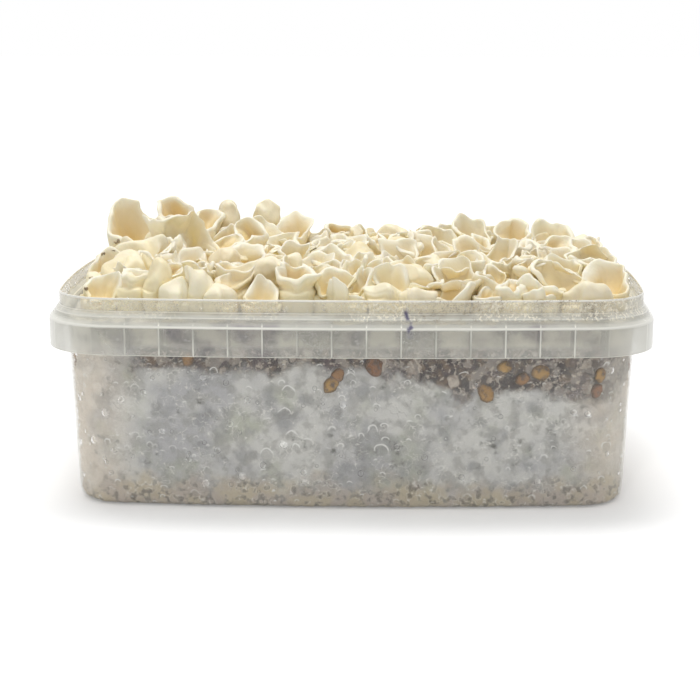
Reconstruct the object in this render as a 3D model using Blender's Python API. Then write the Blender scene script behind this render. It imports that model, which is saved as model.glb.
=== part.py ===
"""Mushroom grow kit: a milky plastic food tub, the grown-together grain in it, and the caps on top.

Metres, +Z up. The origin is the middle of the tub's base, +X runs along the tub's length and the
photographed front looks along -Y.
"""
import math

import bmesh
import bpy
import numpy as np

MM = 0.001

# Overall sizes of the tub, measured over the skirt of its rim
TUB_LENGTH = 187.0 * MM
TUB_DEPTH = 135.2 * MM
TUB_HEIGHT = 64.5 * MM
CORNER_RADIUS = 22.0 * MM
FRONT_BOW = 4.8 * MM      # how far the long sides curve outwards
END_BOW = 5.5 * MM        # how far the short sides curve outwards

# Walls of the moulding
WALL = 0.8 * MM
WALL_INSET = 5.7 * MM     # outer wall, inwards of the skirt, at the skirt's lower edge
FOOT_INSET = 7.5 * MM     # outer wall, inwards of the skirt, at the base
FOOT_FILLET = 3.0 * MM
FOOT_RING_WIDTH = 3.0 * MM
BASE_RECESS = 0.5 * MM

# Rim: the neck that a lid would grip, the stepped ledge around it and the skirt that hangs from it
NECK_INSET = 3.2 * MM
NECK_HEIGHT = 4.0 * MM
LEDGE_DROP = 3.7 * MM
LEDGE_STEP = 0.9 * MM
SKIRT_HEIGHT = 8.7 * MM
RIM_ROUND = 0.4 * MM

# Fins between the wall and the skirt
FIN_PITCH = 10.0 * MM
FIN_THICKNESS = 0.5 * MM
FIN_LIFT = 0.6 * MM       # from the skirt's lower edge to the fin
FIN_LAST_TURN = 15.0      # degrees that a side may turn into its corner before its fins stop

# Grown-together grain
FILL_BELOW_RIM = 7.6 * MM
FILL_WAVE = 0.35 * MM
FILL_WAVE_LENGTH = 90.0 * MM

# Clearances
TOUCH_GAP = 0.3 * MM      # between pieces that touch
CAP_WALL_GAP = 0.5 * MM   # between the caps and the tub's neck

# Facets of the tub's outline, in a quarter of it
END_STEPS = 2
CORNER_STEPS = 5
FRONT_STEPS = 4

# Caps: the bed on which their places were chosen, their facets and the shape of their cups
BED_DRAWN_LENGTH = 178.0
BED_DRAWN_DEPTH = 126.0
FOOT_FACETS = 8           # the lip has twice as many
CAP_ROUNDING = 12.0       # how sharply neighbouring caps flatten against each other
LOBE_DEPTH = 0.14         # how far the lip draws in between its lobes, as a share of the cap
FOOT_SHARE = 0.60         # width of a cap's foot, as a share of its narrowest reach
SWELL_SHARE = 0.82
LIP_SHARE = 0.84
CUP_SHARE = 0.46
SWELL_HEIGHT = 0.45
CUP_WALL_DEPTH = 0.75     # how far down the cup its wall ends, as a share of the cup's depth
LIP_EDGE = 1.1 * MM
LIP_WAVE = 1.1 * MM

# Each cap: place on the drawn bed (mm), rise of its lip over the rim (mm), girth (mm, larger takes
# more room from its neighbours), tilt of the lip (mm), the way its cup faces (degrees from +X),
# depth of the cup (mm), number of lobes and the turn of the lobes (degrees)
CAPS = [
    # front row
    (-77, -45, 5.0, 9, 2.0, -110, 6, 2, 20),
    (-61, -53, 6.5, 9, 3.0, -95, 8, 2, 75),
    (-45, -54, 6.5, 9, 2.5, -80, 7, 3, 10),
    (-29, -55, 4.5, 8, 2.0, -90, 5, 2, 40),
    (-13, -53, 5.0, 9, 2.0, -75, 6, 2, 85),
    (3, -54, 4.5, 8, 2.0, -90, 5, 3, 55),
    (20, -55, 5.0, 10, 1.5, -90, 5, 2, 5),
    (46, -55, 4.5, 9, 2.0, -100, 6, 3, 30),
    (63, -53, 4.5, 9, 2.5, -85, 6, 2, 60),
    (80, -43, 5.5, 10, 3.5, -100, 8, 2, 15),
    # second row
    (-75, -26, 7.0, 9, 2.5, -120, 6, 2, 50),
    (-55, -35, 6.5, 10, 3.0, -90, 8, 3, 0),
    (-30, -37, 8.5, 12, 2.0, -70, 5, 2, 30),
    (-8, -35, 5.5, 10, 3.0, -85, 7, 2, 90),
    (12, -37, 5.5, 9, 3.0, -95, 7, 3, 20),
    (33, -42, 8.0, 12, 4.5, -105, 9, 3, 65),
    (53, -36, 5.5, 9, 3.0, -90, 7, 2, 10),
    (70, -28, 6.0, 9, 2.5, -70, 6, 3, 45),
    # third row
    (-66, -10, 8.5, 10, 3.0, -95, 6, 2, 80),
    (-45, -17, 8.0, 10, 2.5, -60, 7, 3, 35),
    (-24, -17, 7.0, 9, 3.0, -90, 7, 2, 5),
    (-5, -16, 6.5, 10, 3.5, -80, 8, 2, 70),
    (15, -18, 7.0, 9, 3.0, -95, 7, 3, 50),
    (32, -20, 6.0, 9, 2.5, -100, 7, 2, 25),
    (50, -15, 11.0, 10, 5.0, -90, 9, 2, 80),
    (80, -10, 6.5, 10, 3.0, -120, 7, 2, 0),
    # middle row
    (-80, 8, 10.0, 8, 2.0, -140, 6, 2, 40),
    (-62, 8, 16.0, 12, 5.0, 60, 9, 2, 15),
    (-44, 3, 15.0, 11, 5.5, -60, 9, 2, 60),
    (-27, 3, 8.0, 9, 3.0, -90, 7, 3, 90),
    (-9, 3, 7.0, 9, 3.0, -80, 7, 2, 30),
    (8, 1, 7.5, 10, 3.0, -95, 8, 3, 10),
    (31, 1, 8.0, 11, 3.5, -75, 8, 3, 45),
    (64, 2, 7.5, 10, 3.0, -100, 8, 2, 75),
    # fourth row
    (-78, 28, 18.5, 10, 5.0, -30, 11, 2, 55),
    (-58, 27, 15.0, 10, 3.5, -80, 9, 3, 20),
    (-36, 21, 13.0, 10, 4.0, -70, 9, 2, 0),
    (-17, 21, 8.5, 9, 3.0, -90, 7, 3, 65),
    (2, 20, 7.0, 9, 3.0, -85, 7, 2, 35),
    (21, 21, 7.0, 10, 3.0, -95, 8, 3, 80),
    (43, 20, 7.5, 10, 3.5, -80, 8, 2, 10),
    (61, 22, 8.5, 9, 3.0, -110, 8, 3, 50),
    (80, 19, 7.0, 9, 3.0, -130, 7, 2, 85),
    # back row
    (-70, 49, 16.0, 10, 3.0, 100, 8, 3, 5),
    (-46, 46, 20.0, 10, 5.0, 80, 8, 2, 45),
    (-25, 43, 15.5, 10, 4.0, -70, 9, 2, 70),
    (-6, 42, 9.0, 9, 3.0, -90, 7, 3, 25),
    (14, 44, 9.0, 10, 3.0, 90, 7, 2, 60),
    (34, 46, 7.5, 9, 3.0, 85, 7, 3, 15),
    (53, 46, 8.5, 10, 3.5, -100, 8, 2, 40),
    (75, 43, 9.5, 10, 3.5, 60, 8, 3, 75),
]


def clear_scene():
    """Remove every object, so that the script can be run again."""
    for item in list(bpy.data.objects):
        bpy.data.objects.remove(item, do_unlink=True)


def material(name, color, roughness, alpha=1.0):
    """A plain Principled material."""
    made = bpy.data.materials.new(name)
    made.use_nodes = True
    shader = made.node_tree.nodes["Principled BSDF"]
    shader.inputs["Base Color"].default_value = (*color, 1.0)
    shader.inputs["Roughness"].default_value = roughness
    shader.inputs["Metallic"].default_value = 0.0
    shader.inputs["Alpha"].default_value = alpha
    return made


def corner_centre(front_radius, front_y, end_radius, end_x):
    """Centre of the corner arc that touches both the front arc and the end arc from inside."""
    to_front = front_radius - CORNER_RADIUS
    to_end = end_radius - CORNER_RADIUS
    across = np.array([end_x, -front_y])
    span = np.hypot(*across)
    along = (to_front ** 2 - to_end ** 2 + span ** 2) / (2.0 * span)
    aside = math.sqrt(to_front ** 2 - along ** 2)
    unit = across / span
    normal = np.array([-unit[1], unit[0]])
    start = np.array([0.0, front_y])
    choices = [start + unit * along + normal * side * aside for side in (1.0, -1.0)]
    return max(choices, key=lambda point: point.sum())


def quarter_arcs():
    """Arc centres, radii and angles of the outline's quarter at +X +Y, from the X axis to the Y axis."""
    half_length = TUB_LENGTH / 2.0
    half_depth = TUB_DEPTH / 2.0
    front_radius = (half_length ** 2 + FRONT_BOW ** 2) / (2.0 * FRONT_BOW)
    end_radius = (half_depth ** 2 + END_BOW ** 2) / (2.0 * END_BOW)
    front = np.array([0.0, half_depth - front_radius])
    end = np.array([half_length - end_radius, 0.0])
    corner = corner_centre(front_radius, front[1], end_radius, end[0])
    to_end = corner - end
    to_front = corner - front
    end_angle = math.atan2(to_end[1], to_end[0])
    front_angle = math.atan2(to_front[1], to_front[0])
    pieces = [
        (end, end_radius, np.linspace(0.0, end_angle, END_STEPS + 1)[:-1]),
        (corner, CORNER_RADIUS, np.linspace(end_angle, front_angle, CORNER_STEPS + 1)[:-1]),
        (front, front_radius, np.linspace(front_angle, math.pi / 2.0, FRONT_STEPS + 1)),
    ]
    centres = np.concatenate([np.tile(centre, (len(angles), 1)) for centre, _, angles in pieces])
    radii = np.concatenate([np.full(len(angles), radius) for _, radius, angles in pieces])
    angles = np.concatenate([angles for _, _, angles in pieces])
    return centres, radii, angles


def outline(inset):
    """Corner points of the tub's plan outline, moved inwards by inset, counter-clockwise from +X."""
    centres, radii, angles = quarter_arcs()
    directions = np.stack([np.cos(angles), np.sin(angles)], axis=1)
    quarter = centres + (radii - inset)[:, None] * directions
    return np.concatenate([
        quarter,
        quarter[-2::-1] * (-1.0, 1.0),
        quarter[1:] * (-1.0, -1.0),
        quarter[-2:0:-1] * (1.0, -1.0),
    ])


def wall_inset(height):
    """How far the outer wall lies inwards of the skirt at a height, which is the wall's draft."""
    skirt_foot = TUB_HEIGHT - NECK_HEIGHT - LEDGE_DROP - SKIRT_HEIGHT
    draft = (FOOT_INSET - WALL_INSET) / skirt_foot
    return FOOT_INSET - draft * height


def fillet(radius, foot, floor, steps):
    """Arc from the floor to the wall: insets and heights, with the corner at foot and floor."""
    angles = np.linspace(0.0, math.pi / 2.0, steps + 1)
    lean = foot - wall_inset(radius) - (foot - wall_inset(0.0))
    insets = foot + radius * (1.0 - np.sin(angles)) - lean * (1.0 - np.cos(angles))
    heights = floor + radius * (1.0 - np.cos(angles))
    return list(zip(insets, heights))


def ring_at(inset, height):
    """One closed ring of the tub's outline, as points in space."""
    flat = outline(inset)
    return np.column_stack([flat, np.full(len(flat), height)])


def skin(mesh, rings, first_pole, last_pole):
    """Join rings of equal count into a closed skin with a pole at each end, facing outwards."""
    count = len(rings[0])
    loops = [[mesh.verts.new(point) for point in ring] for ring in rings]
    first = mesh.verts.new(first_pole)
    last = mesh.verts.new(last_pole)
    for low, high in zip(loops[:-1], loops[1:]):
        for i in range(count):
            j = (i + 1) % count
            mesh.faces.new((low[i], low[j], high[j], high[i]))
    for i in range(count):
        j = (i + 1) % count
        mesh.faces.new((first, loops[0][j], loops[0][i]))
        mesh.faces.new((last, loops[-1][i], loops[-1][j]))


def finish(name, mesh, finish_material, sharp_degrees):
    """Turn a bmesh into a smooth-shaded object with sharp edges where it turns by more than an angle."""
    bmesh.ops.recalc_face_normals(mesh, faces=mesh.faces)
    data = bpy.data.meshes.new(name)
    mesh.to_mesh(data)
    mesh.free()
    data.shade_smooth()
    data.set_sharp_from_angle(angle=math.radians(sharp_degrees))
    data.materials.append(finish_material)
    made = bpy.data.objects.new(name, data)
    bpy.context.scene.collection.objects.link(made)
    return made


def rim_heights():
    """Heights of the neck's foot, the ledge's step, the shoulder and the skirt's lower edge."""
    neck_foot = TUB_HEIGHT - NECK_HEIGHT
    shoulder = neck_foot - LEDGE_DROP
    skirt_foot = shoulder - SKIRT_HEIGHT
    step_top = shoulder + (LEDGE_DROP + LEDGE_STEP) / 2.0
    return neck_foot, step_top, shoulder, skirt_foot


def tub_profile():
    """The moulding's closed section as insets from the skirt's outer face and heights, base first."""
    neck_foot, step_top, shoulder, skirt_foot = rim_heights()
    neck_inner = NECK_INSET + WALL
    bend = neck_foot - (wall_inset(neck_foot) - NECK_INSET) - WALL
    bend_inner = bend + WALL / 2.0
    step_inset = NECK_INSET * 0.6
    recess = FOOT_INSET + FOOT_FILLET + FOOT_RING_WIDTH
    inner_fillet = FOOT_FILLET - WALL
    section = [(recess + BASE_RECESS, BASE_RECESS), (recess, 0.0)]
    section += fillet(FOOT_FILLET, FOOT_INSET, 0.0, 3)
    section += [
        (wall_inset(bend), bend),
        (neck_inner, neck_foot - 1.5 * WALL),
        (NECK_INSET - WALL / 2.0, neck_foot - 2.0 * WALL),
        (WALL, shoulder - WALL / 2.0),
        (WALL, skirt_foot),
        (0.0, skirt_foot),
        (0.0, shoulder - RIM_ROUND),
        (RIM_ROUND, shoulder),
        (step_inset - RIM_ROUND / 2.0, step_top - LEDGE_STEP),
        (step_inset, step_top),
        (NECK_INSET, neck_foot),
        (NECK_INSET, TUB_HEIGHT - RIM_ROUND),
        (NECK_INSET + WALL / 2.0, TUB_HEIGHT),
        (neck_inner, TUB_HEIGHT - RIM_ROUND),
        (neck_inner, neck_foot - WALL / 2.0),
        (wall_inset(bend_inner) + WALL, bend_inner),
    ]
    floor = BASE_RECESS + WALL
    section += fillet(inner_fillet, FOOT_INSET + WALL, floor, 2)[::-1]
    return section


def fin_section():
    """One fin's outline, as insets and heights, with its edges buried half-way into the moulding."""
    neck_foot, _, shoulder, skirt_foot = rim_heights()
    low = skirt_foot + FIN_LIFT
    bend = neck_foot - (wall_inset(neck_foot) - NECK_INSET) - WALL
    half = WALL / 2.0
    return [
        (half, low),
        (wall_inset(low) + half, low),
        (wall_inset(bend) + half, bend + half / 2.0),
        (NECK_INSET + WALL, neck_foot - WALL),
        (NECK_INSET - half, neck_foot - 1.5 * WALL),
        (2.0 * half, shoulder - half / 2.0),
        (half, shoulder - WALL),
    ]


def side_point(place, half, reach, bow):
    """Point at a place along a bowed side, as along and outwards, and the way outwards there."""
    radius = (half ** 2 + bow ** 2) / (2.0 * bow)
    lean = math.asin(place / radius)
    outwards = np.array([math.sin(lean), math.cos(lean)])
    return np.array([0.0, reach - radius]) + radius * outwards, outwards


def corner_point(place, corner):
    """As side_point, for a place that has passed on to the corner's arc."""
    lean = math.asin((place - corner[0]) / CORNER_RADIUS)
    outwards = np.array([math.sin(lean), math.cos(lean)])
    return corner + CORNER_RADIUS * outwards, outwards


def fin_places():
    """Every fin's point on the outline and the way outwards there, on all four sides."""
    centres, _, _ = quarter_arcs()
    corner = centres[END_STEPS]
    half_length = TUB_LENGTH / 2.0
    half_depth = TUB_DEPTH / 2.0
    sides = [
        (half_length, half_depth, FRONT_BOW, corner, 1),
        (half_depth, half_length, END_BOW, corner[::-1], -1),
    ]
    places = []
    for half, reach, bow, corner_along, order in sides:
        last = corner_along[0] + CORNER_RADIUS * math.sin(math.radians(FIN_LAST_TURN))
        for step in range(int(last / FIN_PITCH + 0.5)):
            place = (step + 0.5) * FIN_PITCH
            if place > corner_along[0]:
                point, outwards = corner_point(place, corner_along)
            else:
                point, outwards = side_point(place, half, reach, bow)
            for flip in ((1.0, 1.0), (-1.0, 1.0), (1.0, -1.0), (-1.0, -1.0)):
                places.append((point[::order] * flip, outwards[::order] * flip))
    return places


def build_fins():
    """All fins as one guide object, to be joined to the moulding."""
    mesh = bmesh.new()
    section = fin_section()
    for point, outwards in fin_places():
        aside = np.array([-outwards[1], outwards[0]]) * FIN_THICKNESS / 2.0
        sides = []
        for sign in (1.0, -1.0):
            corners = [(*(point - outwards * inset + aside * sign), height) for inset, height in section]
            sides.append([mesh.verts.new(corner) for corner in corners])
        mesh.faces.new(sides[0])
        mesh.faces.new(sides[1][::-1])
        for i in range(len(section)):
            j = (i + 1) % len(section)
            mesh.faces.new((sides[0][j], sides[0][i], sides[1][i], sides[1][j]))
    bmesh.ops.recalc_face_normals(mesh, faces=mesh.faces)
    data = bpy.data.meshes.new("fin_guide")
    mesh.to_mesh(data)
    mesh.free()
    guide = bpy.data.objects.new("fin_guide", data)
    bpy.context.scene.collection.objects.link(guide)
    guide.hide_render = True
    guide.display_type = "WIRE"
    return guide


def build_tub():
    """The tub: its section carried round the outline, with the fins joined on under the ledge."""
    section = tub_profile()
    rings = [ring_at(inset, height) for inset, height in section]
    mesh = bmesh.new()
    skin(mesh, rings, (0.0, 0.0, BASE_RECESS), (0.0, 0.0, BASE_RECESS + WALL))
    plastic = material("tub_plastic", (0.86, 0.87, 0.85), 0.25, alpha=0.4)
    tub = finish("tub", mesh, plastic, 40.0)
    joined = tub.modifiers.new("fins", "BOOLEAN")
    joined.operation = "UNION"
    joined.solver = "EXACT"
    joined.object = build_fins()
    return tub


def fill_height(x, y):
    """Height of the grain's gently uneven top."""
    wave = np.sin(x / FILL_WAVE_LENGTH * 2.0 * np.pi + 0.7) * np.cos(y / FILL_WAVE_LENGTH * 2.0 * np.pi)
    return TUB_HEIGHT - FILL_BELOW_RIM + FILL_WAVE * wave


def build_substrate():
    """The grain cake: the tub's inside less a small gap, with an uneven top."""
    inner = WALL + TOUCH_GAP
    floor = BASE_RECESS + WALL + TOUCH_GAP
    section = fillet(FOOT_FILLET - inner, FOOT_INSET + inner, floor, 2)
    rings = [ring_at(inset, height) for inset, height in section]
    top_inset = wall_inset(TUB_HEIGHT - FILL_BELOW_RIM) + inner
    edge = outline(top_inset)
    for share in (1.0, 0.8, 0.55, 0.28):
        flat = edge * share
        rings.append(np.column_stack([flat, fill_height(flat[:, 0], flat[:, 1])]))
    mesh = bmesh.new()
    skin(mesh, rings, (0.0, 0.0, floor), (0.0, 0.0, float(fill_height(0.0, 0.0))))
    grain = material("substrate_grain", (0.72, 0.70, 0.68), 0.8)
    return finish("substrate", mesh, grain, 50.0)


def cap_places():
    """Centres of all caps on the tub's own bed, and the square of each one's girth."""
    inner = NECK_INSET + WALL
    spread = np.array([
        (TUB_LENGTH - 2.0 * inner) / BED_DRAWN_LENGTH,
        (TUB_DEPTH - 2.0 * inner) / BED_DRAWN_DEPTH,
    ])
    centres = np.array([(x, y) for x, y, *_ in CAPS]) * spread
    girths = np.array([girth for _, _, _, girth, *_ in CAPS]) * MM
    return centres, girths ** 2


def reach_to_neighbours(index, directions, centres, weights):
    """How far a cap may reach each way: softly, to half-way lines that the larger cap pushes off."""
    across = np.delete(centres - centres[index], index, axis=0)
    others = np.delete(weights, index)
    span = np.hypot(across[:, 0], across[:, 1])
    to_line = (span ** 2 + weights[index] - others) / (2.0 * span) - TOUCH_GAP / 2.0
    facing = directions @ (across / span[:, None]).T
    inverse = np.where(facing > 0.0, facing / to_line, 0.0)
    return inverse


def reach_to_neck(centre, directions):
    """How far a cap may reach each way before it meets the tub's neck, as an inverse distance."""
    corners = outline(NECK_INSET + WALL + CAP_WALL_GAP)
    edges = np.roll(corners, -1, axis=0) - corners
    outwards = np.stack([edges[:, 1], -edges[:, 0]], axis=1)
    outwards /= np.hypot(outwards[:, 0], outwards[:, 1])[:, None]
    to_line = ((corners - centre) * outwards).sum(axis=1)
    facing = directions @ outwards.T
    return np.where(facing > 0.0, facing / to_line, 0.0).max(axis=1)


def cap_reach(index, directions, centres, weights):
    """Reach of a cap in every direction: a smooth lower bound of all its limits."""
    near = reach_to_neighbours(index, directions, centres, weights)
    wall = reach_to_neck(centres[index], directions)
    total = (near ** CAP_ROUNDING).sum(axis=1) + wall ** CAP_ROUNDING
    return total ** (-1.0 / CAP_ROUNDING)


def widen(mesh, coarse, fine, upwards):
    """Join a ring to one with twice as many points, which starts at the same angle."""
    count = len(coarse)
    for i in range(count):
        j = (i + 1) % count
        low, high = coarse[i], coarse[j]
        near, middle, far = fine[2 * i], fine[2 * i + 1], fine[(2 * i + 2) % len(fine)]
        for face in ((low, middle, near), (low, high, middle), (high, far, middle)):
            mesh.faces.new(face if upwards else face[::-1])


def build_cap(index, cap_material, centres, weights):
    """One fruit body: a foot that flares to a ruffled, lobed lip, rolled over into a tilted cup."""
    _, _, rise, _, tilt, faces, depth, lobes, turn = CAPS[index]
    rise, tilt, depth = rise * MM, tilt * MM, depth * MM
    turns = np.arange(2 * FOOT_FACETS) * math.pi / FOOT_FACETS
    angles = turns + math.radians(turn)
    directions = np.stack([np.cos(angles), np.sin(angles)], axis=1)
    reach = cap_reach(index, directions, centres, weights)
    ruffle = np.cos(lobes * turns)
    lobed = (reach * (1.0 - LOBE_DEPTH * (1.0 - ruffle) / 2.0))[:, None]
    centre = centres[index]
    lip = TUB_HEIGHT + rise - tilt * (1.0 + np.cos(angles - math.radians(faces))) / 2.0
    lip = lip + ruffle * LIP_WAVE
    foot = centre + directions * (reach.min() * FOOT_SHARE)
    foot_height = fill_height(foot[:, 0], foot[:, 1]) + TOUCH_GAP
    swell_height = foot_height + (lip - foot_height) * SWELL_HEIGHT
    cup_height = lip - depth * CUP_WALL_DEPTH
    rings = [
        np.column_stack([foot, foot_height])[::2],
        np.column_stack([centre + directions * lobed * SWELL_SHARE, swell_height])[::2],
        np.column_stack([centre + directions * lobed, lip - LIP_EDGE]),
        np.column_stack([centre + directions * lobed * LIP_SHARE, lip]),
        np.column_stack([centre + directions * lobed * CUP_SHARE, cup_height])[::2],
    ]
    mesh = bmesh.new()
    foot_ring, swell, rim, roll, cup = [[mesh.verts.new(point) for point in ring] for ring in rings]
    bottom = mesh.verts.new((*centre, float(fill_height(*centre)) + TOUCH_GAP))
    hollow = mesh.verts.new((*centre, float(lip.mean()) - depth))
    widen(mesh, swell, rim, True)
    widen(mesh, cup, roll, False)
    for i in range(FOOT_FACETS):
        j = (i + 1) % FOOT_FACETS
        mesh.faces.new((foot_ring[i], foot_ring[j], swell[j], swell[i]))
        mesh.faces.new((bottom, foot_ring[j], foot_ring[i]))
        mesh.faces.new((hollow, cup[i], cup[j]))
    for i in range(2 * FOOT_FACETS):
        j = (i + 1) % (2 * FOOT_FACETS)
        mesh.faces.new((rim[i], rim[j], roll[j], roll[i]))
    return finish(f"fruit_{index + 1:02d}", mesh, cap_material, 70.0)


def build_caps():
    """All fruit bodies, packed against each other over the whole bed."""
    flesh = material("mushroom_flesh", (0.90, 0.83, 0.66), 0.55)
    centres, weights = cap_places()
    for index in range(len(CAPS)):
        build_cap(index, flesh, centres, weights)


def main():
    clear_scene()
    build_tub()
    build_substrate()
    build_caps()


main()
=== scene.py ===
"""Mushroom grow kit, dressed: the see-through tub, the grown grain with its kernels and drops, the caps."""

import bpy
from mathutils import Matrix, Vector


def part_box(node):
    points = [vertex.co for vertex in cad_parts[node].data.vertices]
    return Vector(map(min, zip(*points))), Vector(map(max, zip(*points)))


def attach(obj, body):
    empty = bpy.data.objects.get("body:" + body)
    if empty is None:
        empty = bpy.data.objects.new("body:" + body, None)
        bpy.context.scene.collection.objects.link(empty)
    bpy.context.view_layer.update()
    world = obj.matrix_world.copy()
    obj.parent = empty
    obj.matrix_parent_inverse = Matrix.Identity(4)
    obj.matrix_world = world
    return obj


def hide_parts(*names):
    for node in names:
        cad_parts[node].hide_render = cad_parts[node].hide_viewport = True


bl_info = {
    "name": "Mushroom grow kit",
    "version": (1, 0, 0),
    "blender": (4, 5, 0),
    "location": "3D View > Sidebar > Grow kit",
    "description": "Builds a tub of grown grain with ruffled mushroom caps",
    "category": "Object",
}

import math
from functools import reduce

import bpy
import numpy as np
from bpy.props import FloatProperty, FloatVectorProperty, IntProperty, PointerProperty
from mathutils import Matrix, Vector

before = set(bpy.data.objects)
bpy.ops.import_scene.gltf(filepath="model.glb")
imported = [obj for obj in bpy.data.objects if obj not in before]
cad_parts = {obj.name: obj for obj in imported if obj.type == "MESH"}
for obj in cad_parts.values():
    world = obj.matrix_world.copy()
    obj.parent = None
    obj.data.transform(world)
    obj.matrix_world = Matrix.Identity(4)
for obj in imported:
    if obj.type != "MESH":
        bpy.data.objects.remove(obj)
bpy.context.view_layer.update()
TUB_LOW, TUB_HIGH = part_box("tub")

MM = 0.001
TAU = 2.0 * math.pi
WHITE = (1.0, 1.0, 1.0, 1.0)

# The tub's fixed sizes: how thick its base is and how far it lies above the foot ring, how far the
# ledge's step rises, and how many fins stand on half a long side and half a short one
BASE_RECESS = 0.1 * MM
BASE_PLATE = 0.15 * MM
STEP_RISE = 0.9 * MM
HALF_FINS = (8, 5)

# Points on a quarter of the ring where places on the wall are looked up, and on a quarter of the
# cake's, and the cake's rings up the wall and again over its top
WALL_STEPS = 300
CAKE_STEPS = 130
CAKE_RINGS = 62

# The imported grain's top, as in its solid, and how far over it the caps' feet stand
RIM = TUB_HIGH[2]
FILL_TOP = RIM - 7.6 * MM
FILL_WAVE = 0.35 * MM
FILL_WAVE_LENGTH = 90.0 * MM
FOOT_GAP = 0.3 * MM

# Points on a petal's ring, and its rings: of the plug, the sheet, the lip, the bowl and a closed top
PETAL_POINTS = 56
PLUG_RINGS = 4
SHEET_RINGS = 11
LIP_RINGS = 5
BOWL_RINGS = 8
DOME_RINGS = 12
# How strong the painted highlight on a closed top is, where an open form's lip is 1, and the seed of the
# first petal
DOME_HIGHLIGHT = 0.6
PETAL_SEED = 100

# Petals that fill the bed: how close the rows stand as a share of the spacing in them, and the forms
# of those that open away from the front and towards it
ROW_STEP = 0.87
FORMS_AWAY = ("hood", "dome", "hood", "frill")
FORMS_TOWARDS = ("ear", "ear", "cup", "clam", "frill", "cone")

# Half the floor's width (m), and the lamps: name, place (m), width and depth (m) and power (W)
FLOOR_REACH = 60.0
LAMPS = [
    ("soft lamp", (-0.05, 0.16, 1.0), (0.5, 0.3), 5.7),
    ("glint lamp", (-0.15, -0.70, 0.55), (0.06, 0.06), 0.5),
]

# The photograph's camera, found from the tub's edges
CAMERA_PLACE = (8.03 * MM, -470.35 * MM, 133.85 * MM)
CAMERA_DOWN = 11.67
CAMERA_RIGHT = -1.10
CAMERA_ROLL = 0.07
CAMERA_LENS = 73.7

# Forms of a cap's petals. lip: thickness of the lip (mm); flare: width of the sheet's foot as a share
# of its lip; swell: how far the sheet bellies out between; curl: how far it draws in just under the
# lip; cone: 0 a round bowl, 1 a paper cone; folds and fold: how many creases run down from the lip
# and how deep; wave: height of the ruffles (mm); open: how far the lip falls towards its open side,
# as a share of the petal's height over its neighbours; dip: 1 a level tilted lip, more for one that
# falls only in front; roof: 0 an open shell, otherwise the closed top's height as a share of its reach.
FORMS = {
    "cup": dict(lip=1.5, flare=0.84, swell=0.03, curl=0.03, cone=0.25, folds=2, fold=0.12, wave=0.6,
                open=0.5, dip=1.0, roof=0.0),
    "ear": dict(lip=1.3, flare=0.74, swell=0.0, curl=0.0, cone=0.35, folds=2, fold=0.14, wave=0.9,
                open=1.35, dip=1.2, roof=0.0),
    "hood": dict(lip=1.3, flare=0.98, swell=0.10, curl=0.0, cone=0.3, folds=2, fold=0.16, wave=0.8,
                 open=1.35, dip=1.2, roof=0.0),
    "funnel": dict(lip=1.2, flare=0.60, swell=0.02, curl=0.0, cone=0.5, folds=2, fold=0.16, wave=1.1,
                   open=0.35, dip=1.0, roof=0.0),
    "peak": dict(lip=1.1, flare=0.55, swell=0.0, curl=0.0, cone=0.7, folds=1, fold=0.10, wave=0.4,
                 open=1.25, dip=0.55, roof=0.0),
    "clam": dict(lip=1.3, flare=0.80, swell=0.04, curl=0.0, cone=0.30, folds=1, fold=0.10, wave=0.7,
                 open=0.9, dip=0.8, roof=0.0),
    "cone": dict(lip=1.1, flare=0.60, swell=0.0, curl=0.0, cone=0.75, folds=1, fold=0.14, wave=0.9,
                 open=1.4, dip=1.0, roof=0.0),
    "frill": dict(lip=1.2, flare=0.70, swell=0.0, curl=0.0, cone=0.30, folds=5, fold=0.26, wave=1.0,
                  open=1.2, dip=1.2, roof=0.0),
    "tongue": dict(lip=1.5, flare=1.0, swell=0.03, curl=0.0, cone=0.3, folds=1, fold=0.16, wave=0.5,
                   open=0.15, dip=1.0, roof=0.9),
    "dome": dict(lip=1.5, flare=1.0, swell=0.06, curl=0.0, cone=0.3, folds=2, fold=0.20, wave=0.6,
                 open=0.4, dip=1.0, roof=0.5),
    "knob": dict(lip=1.5, flare=1.0, swell=0.06, curl=0.0, cone=0.3, folds=1, fold=0.06, wave=0.2,
                 open=0.2, dip=1.0, roof=0.8),
}

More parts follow.
